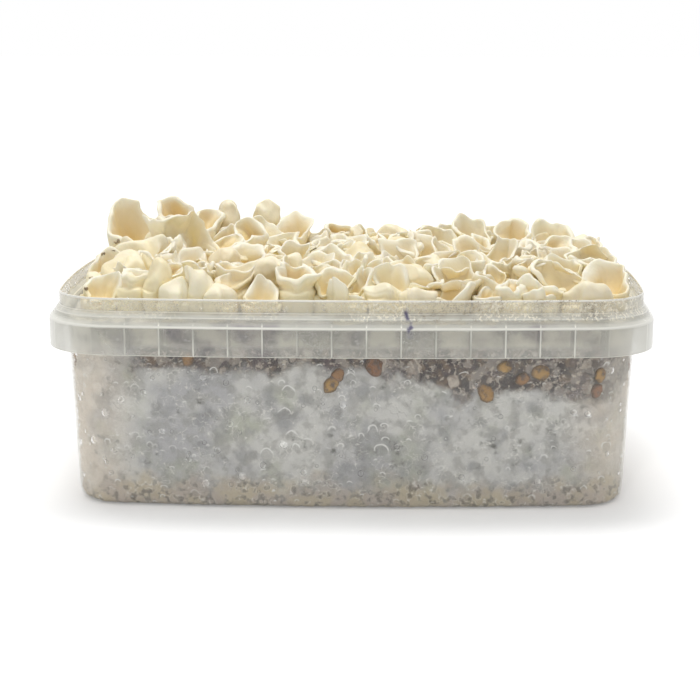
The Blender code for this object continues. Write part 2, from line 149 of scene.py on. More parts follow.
# Petals that can be told apart in the photograph: place (mm), rise of the highest lip over the rim
# (mm), half width and half depth (mm), turn (degrees), the way it opens (degrees from +X), depth of
# the hollow below the low lip (mm) and form
PETALS = [
    # tall clump at the left back
    (-78, 26, 19.3, 8.8, 7.5, 0, -60, 5.0, "clam"),
    (-74, 9, 11.0, 4.5, 4.5, 0, -90, 0.7, "knob"),
    (-62, 7, 18.3, 7.4, 6.5, 0, 95, 3.0, "funnel"),
    (-49, 4, 17.5, 7.2, 7.0, 0, -35, 4.0, "peak"),
    (-67, 46, 17.0, 6.0, 6.0, 0, -90, 1.8, "cup"),
    (-52, 27, 15.5, 6.5, 6.0, 30, -80, 2.5, "cup"),
    (-44, 40, 20.0, 5.4, 5.0, 0, 80, 2.2, "tongue"),
    (-34, 16, 12.5, 6.5, 6.0, 0, -75, 2.9, "cup"),
    (-31, 29, 14.0, 7.0, 6.0, -30, -60, 2.9, "cone"),
    (-32, 52, 20.0, 3.4, 3.4, 0, 60, 1.4, "tongue"),
    (-22, 38, 15.0, 5.6, 6.0, 0, -105, 3.6, "clam"),
    (-82, 44, 10.0, 6.0, 6.0, 0, 150, 1.8, "cup"),
    (-66, 19, 13.0, 5.5, 5.0, 0, -90, 1.8, "dome"),
    # left, in front of the clump
    (-69, -8, 9.5, 8.0, 6.0, 10, -100, 1.1, "dome"),
    (-55, -12, 7.2, 5.6, 5.2, 0, -60, 2.2, "cone"),
    (-71, -27, 8.0, 7.0, 6.5, 0, -100, 1.1, "dome"),
    (-77, -39, 4.8, 3.8, 3.8, 0, -90, 0.5, "knob"),
    (-74, -49, 4.5, 5.5, 5.0, 20, -100, 1.4, "ear"),
    (-64, -50, 5.2, 5.0, 5.0, 0, -85, 2.5, "cup"),
    (-57, -51, 7.5, 3.8, 6.0, 0, -90, 1.1, "tongue"),
    (-51, -57, 3.5, 4.5, 4.5, 0, 90, 1.1, "dome"),
    (-45, -55, 6.5, 5.0, 5.0, 0, -90, 0.9, "dome"),
    (-38, -58, 2.8, 4.2, 4.0, 0, 90, 0.9, "dome"),
    (-54, -38, 7.0, 6.2, 6.0, 0, -80, 2.2, "cup"),
    (-46, -29, 7.2, 3.8, 4.0, 0, -90, 0.5, "knob"),
    (-34, -9, 8.5, 6.5, 5.5, -10, -90, 2.2, "ear"),
    (-40, -20, 9.0, 4.6, 5.0, 0, -90, 0.9, "knob"),
    (-27, -40, 8.5, 8.5, 8.0, -20, 100, 1.4, "dome"),
    (-35, -51, 4.8, 4.5, 4.5, 0, -90, 1.4, "ear"),
    (-26, -57, 3.5, 4.8, 4.5, 0, -90, 1.4, "ear"),
    (-16, -52, 5.6, 5.5, 5.5, 0, -90, 2.2, "cup"),
    # middle
    (-19, -6, 8.0, 5.5, 5.5, 20, -60, 2.2, "frill"),
    (-6, -15, 7.5, 8.0, 6.0, -5, -90, 2.5, "ear"),
    (-5, -36, 6.5, 8.5, 5.5, 0, -90, 2.5, "clam"),
    (16, -5, 8.5, 8.5, 7.0, 15, -80, 2.5, "ear"),
    (18, -26, 6.5, 9.0, 6.0, -10, -90, 2.0, "frill"),
    (9, -43, 6.0, 8.0, 6.0, 10, -95, 2.2, "clam"),
    (11, -56, 5.0, 6.0, 4.5, 0, 90, 1.1, "dome"),
    (20, -59, 3.8, 5.8, 4.5, 0, 90, 1.1, "dome"),
    (31, -44, 9.0, 8.0, 7.5, 0, -105, 3.2, "frill"),
    (-9, 51, 9.0, 5.0, 5.0, 0, -90, 1.8, "cup"),
    (-2, 50, 9.5, 3.8, 4.5, 0, -90, 1.8, "tongue"),
    # right
    (42, -40, 6.0, 5.0, 5.0, 0, -110, 2.2, "ear"),
    (40, -58, 2.5, 4.0, 3.6, 0, -90, 1.1, "cone"),
    (47, -55, 5.0, 5.2, 5.0, 0, -90, 2.2, "cup"),
    (55, -58, 3.4, 4.6, 4.0, 0, 90, 0.7, "frill"),
    (56, -39, 5.8, 5.0, 5.0, 0, -90, 1.8, "cup"),
    (64, -45, 6.6, 7.5, 6.5, 30, -60, 2.5, "frill"),
    (69, -56, 5.0, 7.0, 5.0, 10, 100, 1.1, "dome"),
    (78, -42, 6.8, 7.5, 7.0, -20, -110, 2.9, "clam"),
    (37, 6, 9.0, 6.8, 6.5, 0, -90, 2.9, "clam"),
    (46, -9, 11.5, 7.5, 7.0, 30, -120, 3.2, "ear"),
    (54, -18, 6.5, 6.0, 5.5, 0, -80, 2.2, "ear"),
    (57, 11, 8.5, 5.2, 5.5, 0, -90, 2.2, "cup"),
    (68, 7, 9.0, 6.0, 6.0, 0, -100, 2.5, "cup"),
    (76, -13, 7.5, 8.5, 6.5, -10, -100, 2.2, "ear"),
    (81, 22, 7.5, 6.0, 6.5, 0, -130, 2.2, "cup"),
    (15, 46, 10.0, 5.0, 5.0, 0, -90, 1.8, "tongue"),
    (27, 30, 7.5, 7.5, 6.0, 0, -90, 2.2, "ear"),
    (41, 38, 9.5, 6.5, 6.5, 0, -80, 2.9, "ear"),
    (57, 38, 10.0, 5.5, 6.0, 0, -90, 2.5, "cup"),
    (70, 36, 11.5, 7.5, 7.0, 0, -100, 2.9, "ear"),
    (66, -28, 6.0, 6.0, 6.0, 0, -80, 1.8, "ear"),
]

# Kernels that show through the front wall: along it and up it (mm), length (mm), slant (degrees)
# and how brown they are
FRONT_KERNELS = [
    (-48, 46.0, 4.6, 80, 0.45), (-5.5, 38.6, 5.6, 60, 0.10), (-3.3, 41.6, 4.8, 30, 0.60),
    (7.5, 44.2, 6.4, 100, 0.80), (46, 44.0, 5.0, 10, 0.05), (51.5, 40.4, 4.6, 40, 0.55),
    (56.5, 42.2, 6.0, 10, 0.15), (40.5, 36.2, 6.2, 120, 0.30), (76, 41.2, 4.6, 80, 0.20),
    (75, 36.5, 4.4, 60, 0.80),
]

# Crumbs of grain on the caps and in the neck: place (mm) and radius (mm)
CRUMBS = [
    (-81.6, 19.3, 70.3, 0.8), (-76.7, -14.7, 72.1, 0.5), (-80.3, -15.5, 70.9, 0.6),
    (-79.0, -41.4, 67.2, 0.5), (-78.8, -49.8, 65.1, 0.8), (-24.2, -63.3, 60.1, 0.5),
    (-22.6, -63.3, 59.9, 0.45), (-20.8, -63.3, 60.2, 0.5), (-26.4, -63.3, 58.8, 0.35),
]


def linear(red, green, blue):
    """Linear colour of an sRGB colour given as 0 to 255, by the usual two-part curve."""
    share = np.array([red, green, blue]) / 255.0
    low = share / 12.92
    high = ((share + 0.055) / 1.055) ** 2.4
    return tuple(float(v) for v in np.where(share <= 0.04045, low, high))


def size(name, description, default):
    """A length that can be changed."""
    return FloatProperty(name=name, description=description, unit="LENGTH", default=default)


def factor(name, description, default, low=0.0):
    """A share that can be changed, up to 1."""
    return FloatProperty(
        name=name, description=description, subtype="FACTOR", default=default, min=low, max=1.0)


def tone(name, description, red, green, blue):
    """A colour that can be changed, given as 0 to 255."""
    return FloatVectorProperty(
        name=name, description=description, subtype="COLOR", size=3, default=linear(red, green, blue))


class TubSettings(bpy.types.PropertyGroup):
    """Sizes of the tub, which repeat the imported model's apart from the wall's thickness, and its look."""

    length: size("Length", "Over the rim's skirt", TUB_HIGH[0] - TUB_LOW[0])
    depth: size("Depth", "Over the rim's skirt", TUB_HIGH[1] - TUB_LOW[1])
    height: size("Height", "To the top of the neck", TUB_HIGH[2])
    corner: size("Corner radius", "At the skirt, seen from above", 22.0 * MM)
    front_bow: size("Front bow", "How far a long side curves out", 4.8 * MM)
    end_bow: size("End bow", "How far a short side curves out", 5.5 * MM)
    wall: size("Wall", "Thickness of the plastic", 0.42 * MM)
    wall_inset: size("Wall inset", "Wall inwards of the skirt's lower edge", 5.7 * MM)
    foot_inset: size("Foot inset", "Wall inwards of the skirt at the base", 7.5 * MM)
    foot_fillet: size("Foot fillet", "Radius round the base", 3.0 * MM)
    neck_inset: size("Neck inset", "Neck inwards of the skirt", 3.2 * MM)
    neck_height: size("Neck height", "From the ledge to the top", 4.0 * MM)
    ledge_drop: size("Ledge drop", "From the neck down to the shoulder", 3.7 * MM)
    skirt_height: size("Skirt height", "Height of the skirt", 8.7 * MM)
    fin_pitch: size("Fin pitch", "Spacing of the fins behind the skirt", 10.0 * MM)
    fin_thickness: size("Fin thickness", "Thickness of a fin", 0.35 * MM)
    stain_place: size("Stain", "Place along the front of the dark drip in the neck", 16.0 * MM)
    veil: factor("Veil", "How milky one face of the plastic is", 0.045)
    skirt_veil: factor("Skirt veil", "How much milkier the rim's skirt is", 0.17)
    plastic: tone("Plastic", "Colour of the milky plastic", 240, 239, 230)


class GrainSettings(bpy.types.PropertyGroup):
    """The grown-together grain, its kernels and the water drops on the wall."""

    relief: size("Relief", "Depth of the hollows between granules", 0.7 * MM)
    granule: size("Granule", "Size of a granule", 3.6 * MM)
    drops: IntProperty(
        name="Drops", description="Water drops on the inside of the wall", default=640, min=0)
    kernels: IntProperty(
        name="Kernels", description="Kernels on the sides away from the front", default=46, min=0)
    mycelium: tone("Mycelium", "Colour of the white growth", 224, 223, 219)
    bare: tone("Bare grain", "Colour of the damp, dark band", 42, 28, 32)
    ochre: tone("Kernel", "Colour of a bare kernel", 194, 150, 60)


class CapSettings(bpy.types.PropertyGroup):
    """The fruit bodies."""

    spacing: size("Spacing", "Spacing of the petals that fill the bed", 9.0 * MM)
    bed_length: factor("Bed length", "Length of the bed of caps as a share of the neck's", 0.955, 0.5)
    squeeze: size("Squeeze", "How far petals press past half-way to each other", 1.0 * MM)
    cream: tone("Cream", "Colour of the flesh", 246, 233, 193)
    # painted highlight: laid on the lips and upper outer walls where they catch the light
    pale: tone("Lip", "Colour of the lips", 255, 251, 236)
    # deep in a cup: partly the flesh's own yellower colour, partly painted shade
    hollow: tone("Hollow", "Colour deep in a cup", 214, 180, 98)


class Shape:
    """Points, faces and named marks of a surface, gathered before they go into a mesh."""

    def __init__(self, points, quads, triangles, marks):
        self.points = points
        self.quads = quads
        self.triangles = triangles
        self.marks = marks


def join(shapes):
    """All shapes in one, with the face numbers of each moved past the points before it."""
    starts = np.cumsum([0] + [len(shape.points) for shape in shapes[:-1]])
    names = shapes[0].marks.keys()
    return Shape(
        np.concatenate([shape.points for shape in shapes]),
        np.concatenate([shape.quads + start for shape, start in zip(shapes, starts)]),
        np.concatenate([shape.triangles + start for shape, start in zip(shapes, starts)]),
        {name: np.concatenate([shape.marks[name] for shape in shapes]) for name in names},
    )


def skin(rings, first, last, marks):
    """A closed skin over rings of points: neighbours joined by quads, and a fan to a pole at each end.

    rings is an array of ring, place on the ring and axis. A ring runs counter-clockwise where the
    skin climbs outside, so every face points outwards. Each mark has its values on the rings, at the
    first pole and at the last.
    """
    levels, count, _ = rings.shape
    places = np.arange(count)
    after = (places + 1) % count
    low = np.arange(levels - 1)[:, None] * count
    quads = np.stack([low + places, low + after, low + count + after, low + count + places], axis=-1)
    first_pole = levels * count
    top = (levels - 1) * count
    fans = [
        np.stack([np.full(count, first_pole), after, places], axis=-1),
        np.stack([np.full(count, first_pole + 1), top + places, top + after], axis=-1),
    ]
    spread_marks = {
        name: np.concatenate([np.broadcast_to(on_rings, (levels, count)).reshape(-1), [at_first], [at_last]])
        for name, (on_rings, at_first, at_last) in marks.items()
    }
    points = np.concatenate([rings.reshape(-1, 3), [first], [last]])
    return Shape(points, quads.reshape(-1, 4), np.concatenate(fans), spread_marks)


def lifted(flat, heights):
    """A ring of points on the plan, raised to one height or to a height each."""
    return np.column_stack([flat, np.broadcast_to(heights, len(flat))])


def put_piece(name, shape, material, slot, *replaced):
    """Put a shape into a smooth mesh object, on the root body, in place of the named solids."""
    mesh = bpy.data.meshes.new(name)
    quads, triangles = shape.quads, shape.triangles
    corners = np.concatenate([quads.reshape(-1), triangles.reshape(-1)]).astype(np.int32)
    sides = np.concatenate([np.full(len(quads), 4), np.full(len(triangles), 3)])
    starts = np.concatenate([[0], np.cumsum(sides)[:-1]]).astype(np.int32)
    mesh.vertices.add(len(shape.points))
    mesh.vertices.foreach_set("co", np.ascontiguousarray(shape.points, dtype=np.float32).reshape(-1))
    mesh.loops.add(len(corners))
    mesh.loops.foreach_set("vertex_index", corners)
    mesh.polygons.add(len(sides))
    mesh.polygons.foreach_set("loop_start", starts)
    mesh.update(calc_edges=True)
    mesh.validate()
    mesh.shade_smooth()
    for mark, values in shape.marks.items():
        layer = mesh.attributes.new(mark, "FLOAT", "POINT")
        layer.data.foreach_set("value", values.astype(np.float32))
    mesh.materials.append(material)
    piece = bpy.data.objects.new(name, mesh)
    bpy.context.scene.collection.objects.link(piece)
    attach(piece, "root")
    if replaced:
        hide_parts(*replaced)
    return piece


def smooth_step(low, high, value):
    """0 below low, 1 above high, and a smooth cubic between them."""
    share = np.clip((value - low) / (high - low), 0.0, 1.0)
    return share * share * (3.0 - 2.0 * share)


def softer(first, second, power):
    """The smaller of two reaches, with a soft turn from one to the other: a sum of inverse powers."""
    return (first ** -power + second ** -power) ** (-1.0 / power)


def wobble(points, seed, length, amount):
    """A smooth uneven shift of points: along each axis, the sum of five sine waves of random heading."""
    draw = np.random.default_rng(seed)
    shift = np.zeros_like(points)
    for _ in range(5):
        heading = draw.normal(size=(3, 3))
        heading /= np.linalg.norm(heading, axis=1)[:, None]
        stretch = length * draw.uniform(0.7, 1.5, size=3)
        phase = draw.uniform(0.0, TAU, size=3)
        shift += np.sin((points @ heading.T) * TAU / stretch + phase)
    return points + shift * (amount / math.sqrt(5.0))


def granules(across, up, pitch, turns, seed):
    """Rounded granules on a surface: over a grid of jittered centres, the height of the nearest
    granule, 1 at its centre and 0 half-way to the next, and a random value for each granule.

    turns is how many grid steps go once round the surface, or 0 where it doesn't close.
    """
    column = np.floor(across / pitch).astype(int)
    row = np.floor(up / pitch).astype(int)
    nearest = np.full(np.broadcast(across, up).shape, np.inf)
    second = nearest.copy()
    value = np.zeros_like(nearest)
    table = np.random.default_rng(seed).random((3, 1024, 256))
    for side in (-1, 0, 1):
        for level in (-1, 0, 1):
            i, j = column + side, row + level
            wrapped = (i % turns if turns else i) % 1024
            jitter = table[:, wrapped, j % 256]
            span = np.hypot(across - (i + jitter[0]) * pitch, up - (j + jitter[1]) * pitch)
            closer = span < nearest
            second = np.where(closer, nearest, np.minimum(second, span))
            value = np.where(closer, jitter[2], value)
            nearest = np.where(closer, span, nearest)
    return smooth_step(0.0, 0.55 * pitch, second - nearest), value


def quarter_arcs(tub, steps):
    """Arc centres, radii and angles of the plan outline's quarter at +X +Y, spread evenly by length."""
    half_length, half_depth = tub.length / 2.0, tub.depth / 2.0
    front_radius = (half_length ** 2 + tub.front_bow ** 2) / (2.0 * tub.front_bow)
    end_radius = (half_depth ** 2 + tub.end_bow ** 2) / (2.0 * tub.end_bow)
    front = np.array([0.0, half_depth - front_radius])
    end = np.array([half_length - end_radius, 0.0])
    to_front, to_end = front_radius - tub.corner, end_radius - tub.corner
    across = end - front
    span = np.hypot(*across)
    along = (to_front ** 2 - to_end ** 2 + span ** 2) / (2.0 * span)
    aside = math.sqrt(to_front ** 2 - along ** 2)
    unit = across / span
    normal = np.array([-unit[1], unit[0]])
    choices = [front + unit * along + normal * side * aside for side in (1.0, -1.0)]
    corner = max(choices, key=lambda point: point.sum())
    end_angle = math.atan2(*(corner - end)[::-1])
    front_angle = math.atan2(*(corner - front)[::-1])
    spans = [
        (end, end_radius, 0.0, end_angle),
        (corner, tub.corner, end_angle, front_angle),
        (front, front_radius, front_angle, math.pi / 2.0),
    ]
    lengths = np.array([radius * (stop - start) for _, radius, start, stop in spans])
    limits = np.concatenate([[0.0], np.cumsum(lengths)])
    places = np.linspace(0.0, limits[-1], steps + 1)
    which = np.clip(np.searchsorted(limits, places, side="right") - 1, 0, 2)
    centres = np.array([centre for centre, *_ in spans])[which]
    radii = np.array([radius for _, radius, *_ in spans])[which]
    begins = np.array([start for *_, start, _ in spans])[which]
    return centres, radii, begins + (places - limits[which]) / radii


def outline(tub, inset, steps=60):
    """The plan outline moved inwards, counter-clockwise from +X: three tangent arcs in each quarter."""
    centres, radii, angles = quarter_arcs(tub, steps)
    directions = np.stack([np.cos(angles), np.sin(angles)], axis=1)
    quarter = centres + (radii - inset)[:, None] * directions
    return np.concatenate([
        quarter,
        quarter[-2::-1] * (-1.0, 1.0),
        quarter[1:] * (-1.0, -1.0),
        quarter[-2:0:-1] * (1.0, -1.0),
    ])


def rim_levels(tub):
    """Heights of the neck's foot, the shoulder and the skirt's foot, each below the one before it."""
    neck_foot = tub.height - tub.neck_height
    shoulder = neck_foot - tub.ledge_drop
    return neck_foot, shoulder, shoulder - tub.skirt_height


def ledge_step(tub):
    """Height of the ledge's step: half-way between shoulder and neck, and half the step's rise more."""
    return rim_levels(tub)[1] + (tub.ledge_drop + STEP_RISE) / 2.0


def wall_inset(tub, height):
    """Inset of the outer wall at a height: a straight line up the wall, which is its draft."""
    return tub.foot_inset - (tub.foot_inset - tub.wall_inset) / rim_levels(tub)[2] * height


def wall_bend(tub):
    """Height where the wall bends out to the neck: as far below the neck's foot as the wall lies inwards
    of the neck, and a wall's thickness more, so that the way between slopes at about 45 degrees."""
    neck_foot = rim_levels(tub)[0]
    return neck_foot - (wall_inset(tub, neck_foot) - tub.neck_inset) - tub.wall


def rounded(corners, steps):
    """A section with each corner cut back by its radius and replaced by a parabola of a few steps."""
    spots = np.array([(inset, height) for inset, height, _ in corners])
    softened = [spots[0]]
    for i in range(1, len(spots) - 1):
        before, here, after = spots[i - 1], spots[i], spots[i + 1]
        back, ahead = before - here, after - here
        cut = corners[i][2]
        back *= min(cut, 0.45 * np.hypot(*back)) / np.hypot(*back)
        ahead *= min(cut, 0.45 * np.hypot(*ahead)) / np.hypot(*ahead)
        for share in np.linspace(0.0, 1.0, steps):
            softened.append(here + (1 - share) ** 2 * back + share ** 2 * ahead)
    softened.append(spots[-1])
    return np.array(softened)


def tub_section(tub):
    """The moulding's section, from the base out, up, over the rim and down inside: a line through
    corners, each an inset, a height and a radius."""
    wall, neck = tub.wall, tub.neck_inset
    neck_foot, shoulder, skirt_foot = rim_levels(tub)
    bend, step = wall_bend(tub), ledge_step(tub)
    plate_top = BASE_RECESS + BASE_PLATE
    foot_ring = tub.foot_inset + tub.foot_fillet + 3.0 * MM
    plate_edge = foot_ring + 4.0 * MM
    fine, small, wide, lip = 0.15 * MM, 0.3 * MM, 0.5 * MM, 0.38 * MM
    return rounded([
        (plate_edge, BASE_RECESS, 0.0),
        (foot_ring + BASE_RECESS, BASE_RECESS, fine),
        (foot_ring, 0.0, fine),
        (wall_inset(tub, 0.0), 0.0, tub.foot_fillet),
        (wall_inset(tub, bend), bend, wide),
        (neck + wall, neck_foot - 1.5 * wall, 0.4 * MM),
        (neck - wall / 2.0, neck_foot - 2.0 * wall, 0.4 * MM),
        (wall, shoulder - wall / 2.0, small),
        (wall, skirt_foot, fine),
        (0.0, skirt_foot, fine),
        (0.0, shoulder, 0.6 * MM),
        (neck * 0.6 - 0.2 * MM, step - STEP_RISE, small),
        (neck * 0.6, step, small),
        (neck, neck_foot, wide),
        (neck, tub.height, lip),
        (neck + wall, tub.height, lip),
        (neck + wall, neck_foot - wall / 2.0, wide),
        (wall_inset(tub, bend + wall / 2.0) + wall, bend + wall / 2.0, wide),
        (wall_inset(tub, BASE_RECESS) + wall, plate_top, tub.foot_fillet - wall),
        (plate_edge, plate_top, 0.0),
    ], 5)


def tub_shell(tub):
    """The whole moulding: its section carried round the outline at parallel offsets."""
    section = tub_section(tub)
    rings = np.array([lifted(outline(tub, inset), height) for inset, height in section])
    on_skirt = (section[:, :1] < 0.4 * tub.neck_inset).astype(float)
    poles = (0.0, 0.0, BASE_RECESS), (0.0, 0.0, BASE_RECESS + BASE_PLATE)
    return skin(rings, *poles, {"skirt": (on_skirt, 0.0, 0.0)})


def fin_shapes(tub):
    """The fins behind the skirt: one section, set upright on the outline every pitch and given thickness."""
    wall, neck = tub.wall, tub.neck_inset
    neck_foot, shoulder, skirt_foot = rim_levels(tub)
    low, bend = skirt_foot + 0.6 * MM, wall_bend(tub)
    section = np.array([
        (wall * 0.8, low),
        (wall_inset(tub, low) + wall * 0.2, low),
        (wall_inset(tub, bend) + wall * 0.2, bend),
        (neck + wall, neck_foot - 1.3 * wall),
        (neck - wall / 2.0, neck_foot - 1.8 * wall),
        (wall, shoulder - wall / 3.0),
        (wall * 0.8, shoulder - wall),
    ])
    ring = outline(tub, 0.0, 2 * WALL_STEPS)
    ahead = np.roll(ring, -1, axis=0) - np.roll(ring, 1, axis=0)
    ahead /= np.hypot(ahead[:, 0], ahead[:, 1])[:, None]
    outwards = np.stack([ahead[:, 1], -ahead[:, 0]], axis=1)
    shapes = []
    for axis, count in enumerate(HALF_FINS):
        along = np.concatenate([-(np.arange(count) + 0.5), np.arange(count) + 0.5]) * tub.fin_pitch
        for side in (-1.0, 1.0):
            near = ring[:, 1 - axis] * side > 0.0
            facing = np.abs(outwards[:, 1 - axis]) > 0.7
            pool = np.flatnonzero(near & facing)
            for place in along:
                best = pool[np.argmin(np.abs(ring[pool, axis] - place))]
                shapes.append(fin_shape(ring[best], outwards[best], section, tub.fin_thickness))
    return shapes


def fin_shape(spot, outwards, section, thickness):
    """One fin: the section's polygon on both sides of its middle plane, with a rim between them."""
    aside = np.array([-outwards[1], outwards[0]]) * thickness / 2.0
    sides = [lifted(spot - outwards * section[:, :1] + aside * sign, section[:, 1]) for sign in (1.0, -1.0)]
    middles = [side.mean(axis=0) for side in sides]
    return skin(np.array(sides), *middles, {"skirt": (0.0, 0.0, 0.0)})


def fill_height(x, y):
    """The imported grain's gently uneven top, as in the solid: a sine along X times a cosine along Y."""
    waves = np.sin(x / FILL_WAVE_LENGTH * TAU + 0.7) * np.cos(y / FILL_WAVE_LENGTH * TAU)
    return FILL_TOP + FILL_WAVE * waves


def grain_cake(tub, grain):
    """The grain: a skin just inside the wall, pressed in between its granules, with a crumbly top.

    The wall part is the inner wall's outline at parallel offsets; the top part is that outline
    shrunk towards the middle. Both are moved by the granules' heights.
    """
    gap = tub.wall + 0.05 * MM
    floor = 0.32 * MM
    pressed_in = [
        (kernel_places(tub, grain), 1.5 * MM, 3.1 * MM),
        (drop_places(grain), 0.75 * MM, 1.5 * MM),
    ]
    shares = (np.arange(4 * CAKE_STEPS) + 0.5) / (4 * CAKE_STEPS)
    radius = tub.foot_fillet - tub.wall
    turn = np.linspace(0.0, math.pi / 2.0, 5)
    foot = tub.foot_inset + gap
    insets = [foot + 9.0 * MM, foot + 5.0 * MM] + list(foot + radius * (1.0 - np.sin(turn)))
    heights = [floor, floor] + list(floor + radius * (1.0 - np.cos(turn)))
    climb = np.linspace(heights[-1], FILL_TOP, CAKE_RINGS)[1:]
    insets += list(wall_inset(tub, climb) + gap)
    heights += list(climb)
    flat = outline(tub, tub.wall_inset, CAKE_STEPS)
    stretch = np.linalg.norm(np.roll(flat, -1, axis=0) - flat, axis=1)
    along = np.concatenate([[0.0], np.cumsum(stretch)[:-1]])
    turns = int(round(stretch.sum() / grain.granule))
    along *= turns * grain.granule / stretch.sum()
    rings = []
    for inset, height in zip(insets, heights):
        up = np.full_like(along, height)
        bump, _ = granules(along, up, grain.granule, turns, 5)
        fine, _ = granules(along, up, grain.granule * 0.5, 2 * turns, 6)
        depth = grain.relief * (1.0 - 0.75 * bump - 0.25 * fine)
        for spots, deep, width in pressed_in:
            depth = np.maximum(depth, dent(tub, shares, height, spots, deep, width))
        ring = outline(tub, inset, CAKE_STEPS)
        inwards = outline(tub, inset + MM, CAKE_STEPS) - ring
        rings.append(lifted(ring + inwards * (depth / MM)[:, None], height))
    edge = rings[-1][:, :2]
    for share in np.concatenate([[0.992, 0.98], np.linspace(0.965, 0.05, CAKE_RINGS)]):
        x, y = (edge * share).T
        bump, value = granules(x, y, grain.granule, 0, 7)
        fine, _ = granules(x, y, grain.granule * 0.45, 0, 8)
        rise = (2.2 * bump + 0.8 * fine * value) * MM * smooth_step(1.0, 0.965, share)
        rings.append(lifted(edge * share, fill_height(x, y) + rise))
    return skin(np.array(rings), (0.0, 0.0, floor), (0.0, 0.0, FILL_TOP + 1.0 * MM), {})


def wall_frames(tub, shares, heights, inset):
    """Places on the wall, and there the ways along, up and inwards, at shares of the way round it."""
    ring = outline(tub, 0.0, WALL_STEPS)
    inner = outline(tub, MM, WALL_STEPS)
    index = (shares * len(ring)).astype(int) % len(ring)
    ahead = ring[(index + 1) % len(ring)] - ring[index - 1]
    ahead /= np.hypot(ahead[:, 0], ahead[:, 1])[:, None]
    inwards = (inner[index] - ring[index]) / MM
    depth = wall_inset(tub, heights) + inset
    places = lifted(ring[index] + inwards * depth[:, None], heights)
    up = np.tile([0.0, 0.0, 1.0], (len(index), 1))
    return places, lifted(ahead, 0.0), up, lifted(inwards, 0.0)


def front_share(tub, x):
    """The share of the way round at which the front wall is met at x."""
    ring = outline(tub, 0.0, WALL_STEPS)
    pool = np.flatnonzero(ring[:, 1] < -tub.depth * 0.3)
    best = pool[np.argmin(np.abs(ring[pool, 0][None, :] - x[:, None]), axis=1)]
    return best / len(ring)


def spread(template, places, frames, sizes):
    """Copies of one small shape: its points stretched by sizes along three ways and set at places."""
    points = np.einsum("vk,nk,nkx->nvx", template.points, sizes, frames) + places[:, None, :]
    count, each = points.shape[:2]
    starts = (np.arange(count) * each)[:, None, None]
    return Shape(
        points.reshape(-1, 3),
        (template.quads[None] + starts).reshape(-1, 4),
        (template.triangles[None] + starts).reshape(-1, 3),
        {name: np.tile(values, count) for name, values in template.marks.items()},
    )


def ball(rows, count, crease):
    """A unit ball as rings round its long axis X, drawn in along one side by a crease."""
    around = np.arange(count) * TAU / count
    down = (np.arange(rows) + 1.0) / (rows + 1.0) * math.pi
    radius = np.sin(down)[:, None] * (1.0 - crease * np.exp(-((around - math.pi) / 0.45) ** 2))
    rings = np.stack([
        np.broadcast_to(-np.cos(down)[:, None], radius.shape),
        radius * np.sin(around),
        radius * np.cos(around),
    ], axis=-1)
    rings = rings[:, ::-1]
    side = np.hypot(rings[..., 0], rings[..., 1])
    return skin(rings, (-1.0, 0.0, 0.0), (1.0, 0.0, 0.0), {"side": (side, 1.0, 1.0)})


def kernel_places(tub, grain):
    """Kernels against the wall: shares of the way round, heights, half lengths, slants and browns.

    The front's come first, then others scattered over the sides away from it."""
    draw = np.random.default_rng(11)
    front = np.array(FRONT_KERNELS)
    count = grain.kernels
    upper = draw.random(count) < 0.7
    shares = np.concatenate([front_share(tub, front[:, 0] * MM), draw.uniform(-0.09, 0.59, count) % 1.0])
    heights = np.where(upper, draw.uniform(36.0, 47.0, count), draw.uniform(3.5, 7.0, count))
    heights = np.concatenate([front[:, 1], heights]) * MM
    lengths = np.concatenate([front[:, 2], draw.uniform(4.2, 5.8, count)]) * MM / 2.0
    slants = np.radians(np.concatenate([front[:, 3], draw.uniform(0.0, 180.0, count)]))
    brown = np.concatenate([front[:, 4], draw.uniform(0.0, 0.9, count)])
    return shares, heights, lengths, slants, brown


def kernel_shape(tub, grain):
    """The kernels, each a creased ball flattened against the wall, in its own brown."""
    shares, heights, lengths, slants, brown = kernel_places(tub, grain)
    places, along, up, inwards = wall_frames(tub, shares, heights, tub.wall + 1.1 * MM)
    long_way = along * np.cos(slants)[:, None] + up * np.sin(slants)[:, None]
    frames = np.stack([long_way, np.cross(inwards, long_way), inwards], axis=1)
    sizes = np.stack([lengths, lengths * 0.78, np.full_like(lengths, 1.0 * MM)], axis=1)
    shape = spread(ball(9, 14, 0.18), places, frames, sizes)
    shape.points = wobble(shape.points, 13, 2.6 * MM, 0.22 * MM)
    shape.marks["kind"] = np.repeat(brown, len(shape.points) // len(brown))
    return shape


def dent(tub, shares, height, spots, depth, width):
    """How far a ring of the cake gives way to things pressed between it and the wall: for each, a bell
    of the given depth and width, and of all of these the deepest. spots holds shares and heights."""
    length = tub.length * 2.0 + tub.depth * 2.0 - tub.corner * 1.7
    span = (shares[:, None] - spots[0] + 0.5) % 1.0 - 0.5
    apart = np.hypot(span * length, height - spots[1]) / width
    return depth * np.exp(-apart ** 4).max(axis=1)


def drop_places(grain):
    """Water drops between cake and wall, and small ones in the neck: shares of the way round, heights
    and radii."""
    draw = np.random.default_rng(23)
    count = grain.drops
    heights = draw.uniform(5.0, 46.5, count)
    radii = 0.55 + 0.95 * draw.random(count) ** 2.0
    small = draw.random(count) < 0.3
    radii = np.where(small, 0.35 + 0.2 * draw.random(count), radii)
    neck = draw.random(count) < 0.42
    heights = np.where(neck, draw.uniform(60.8, 64.2, count), heights) * MM
    return draw.random(count), heights, np.where(neck, 0.25 + 0.45 * draw.random(count) ** 2.0, radii) * MM


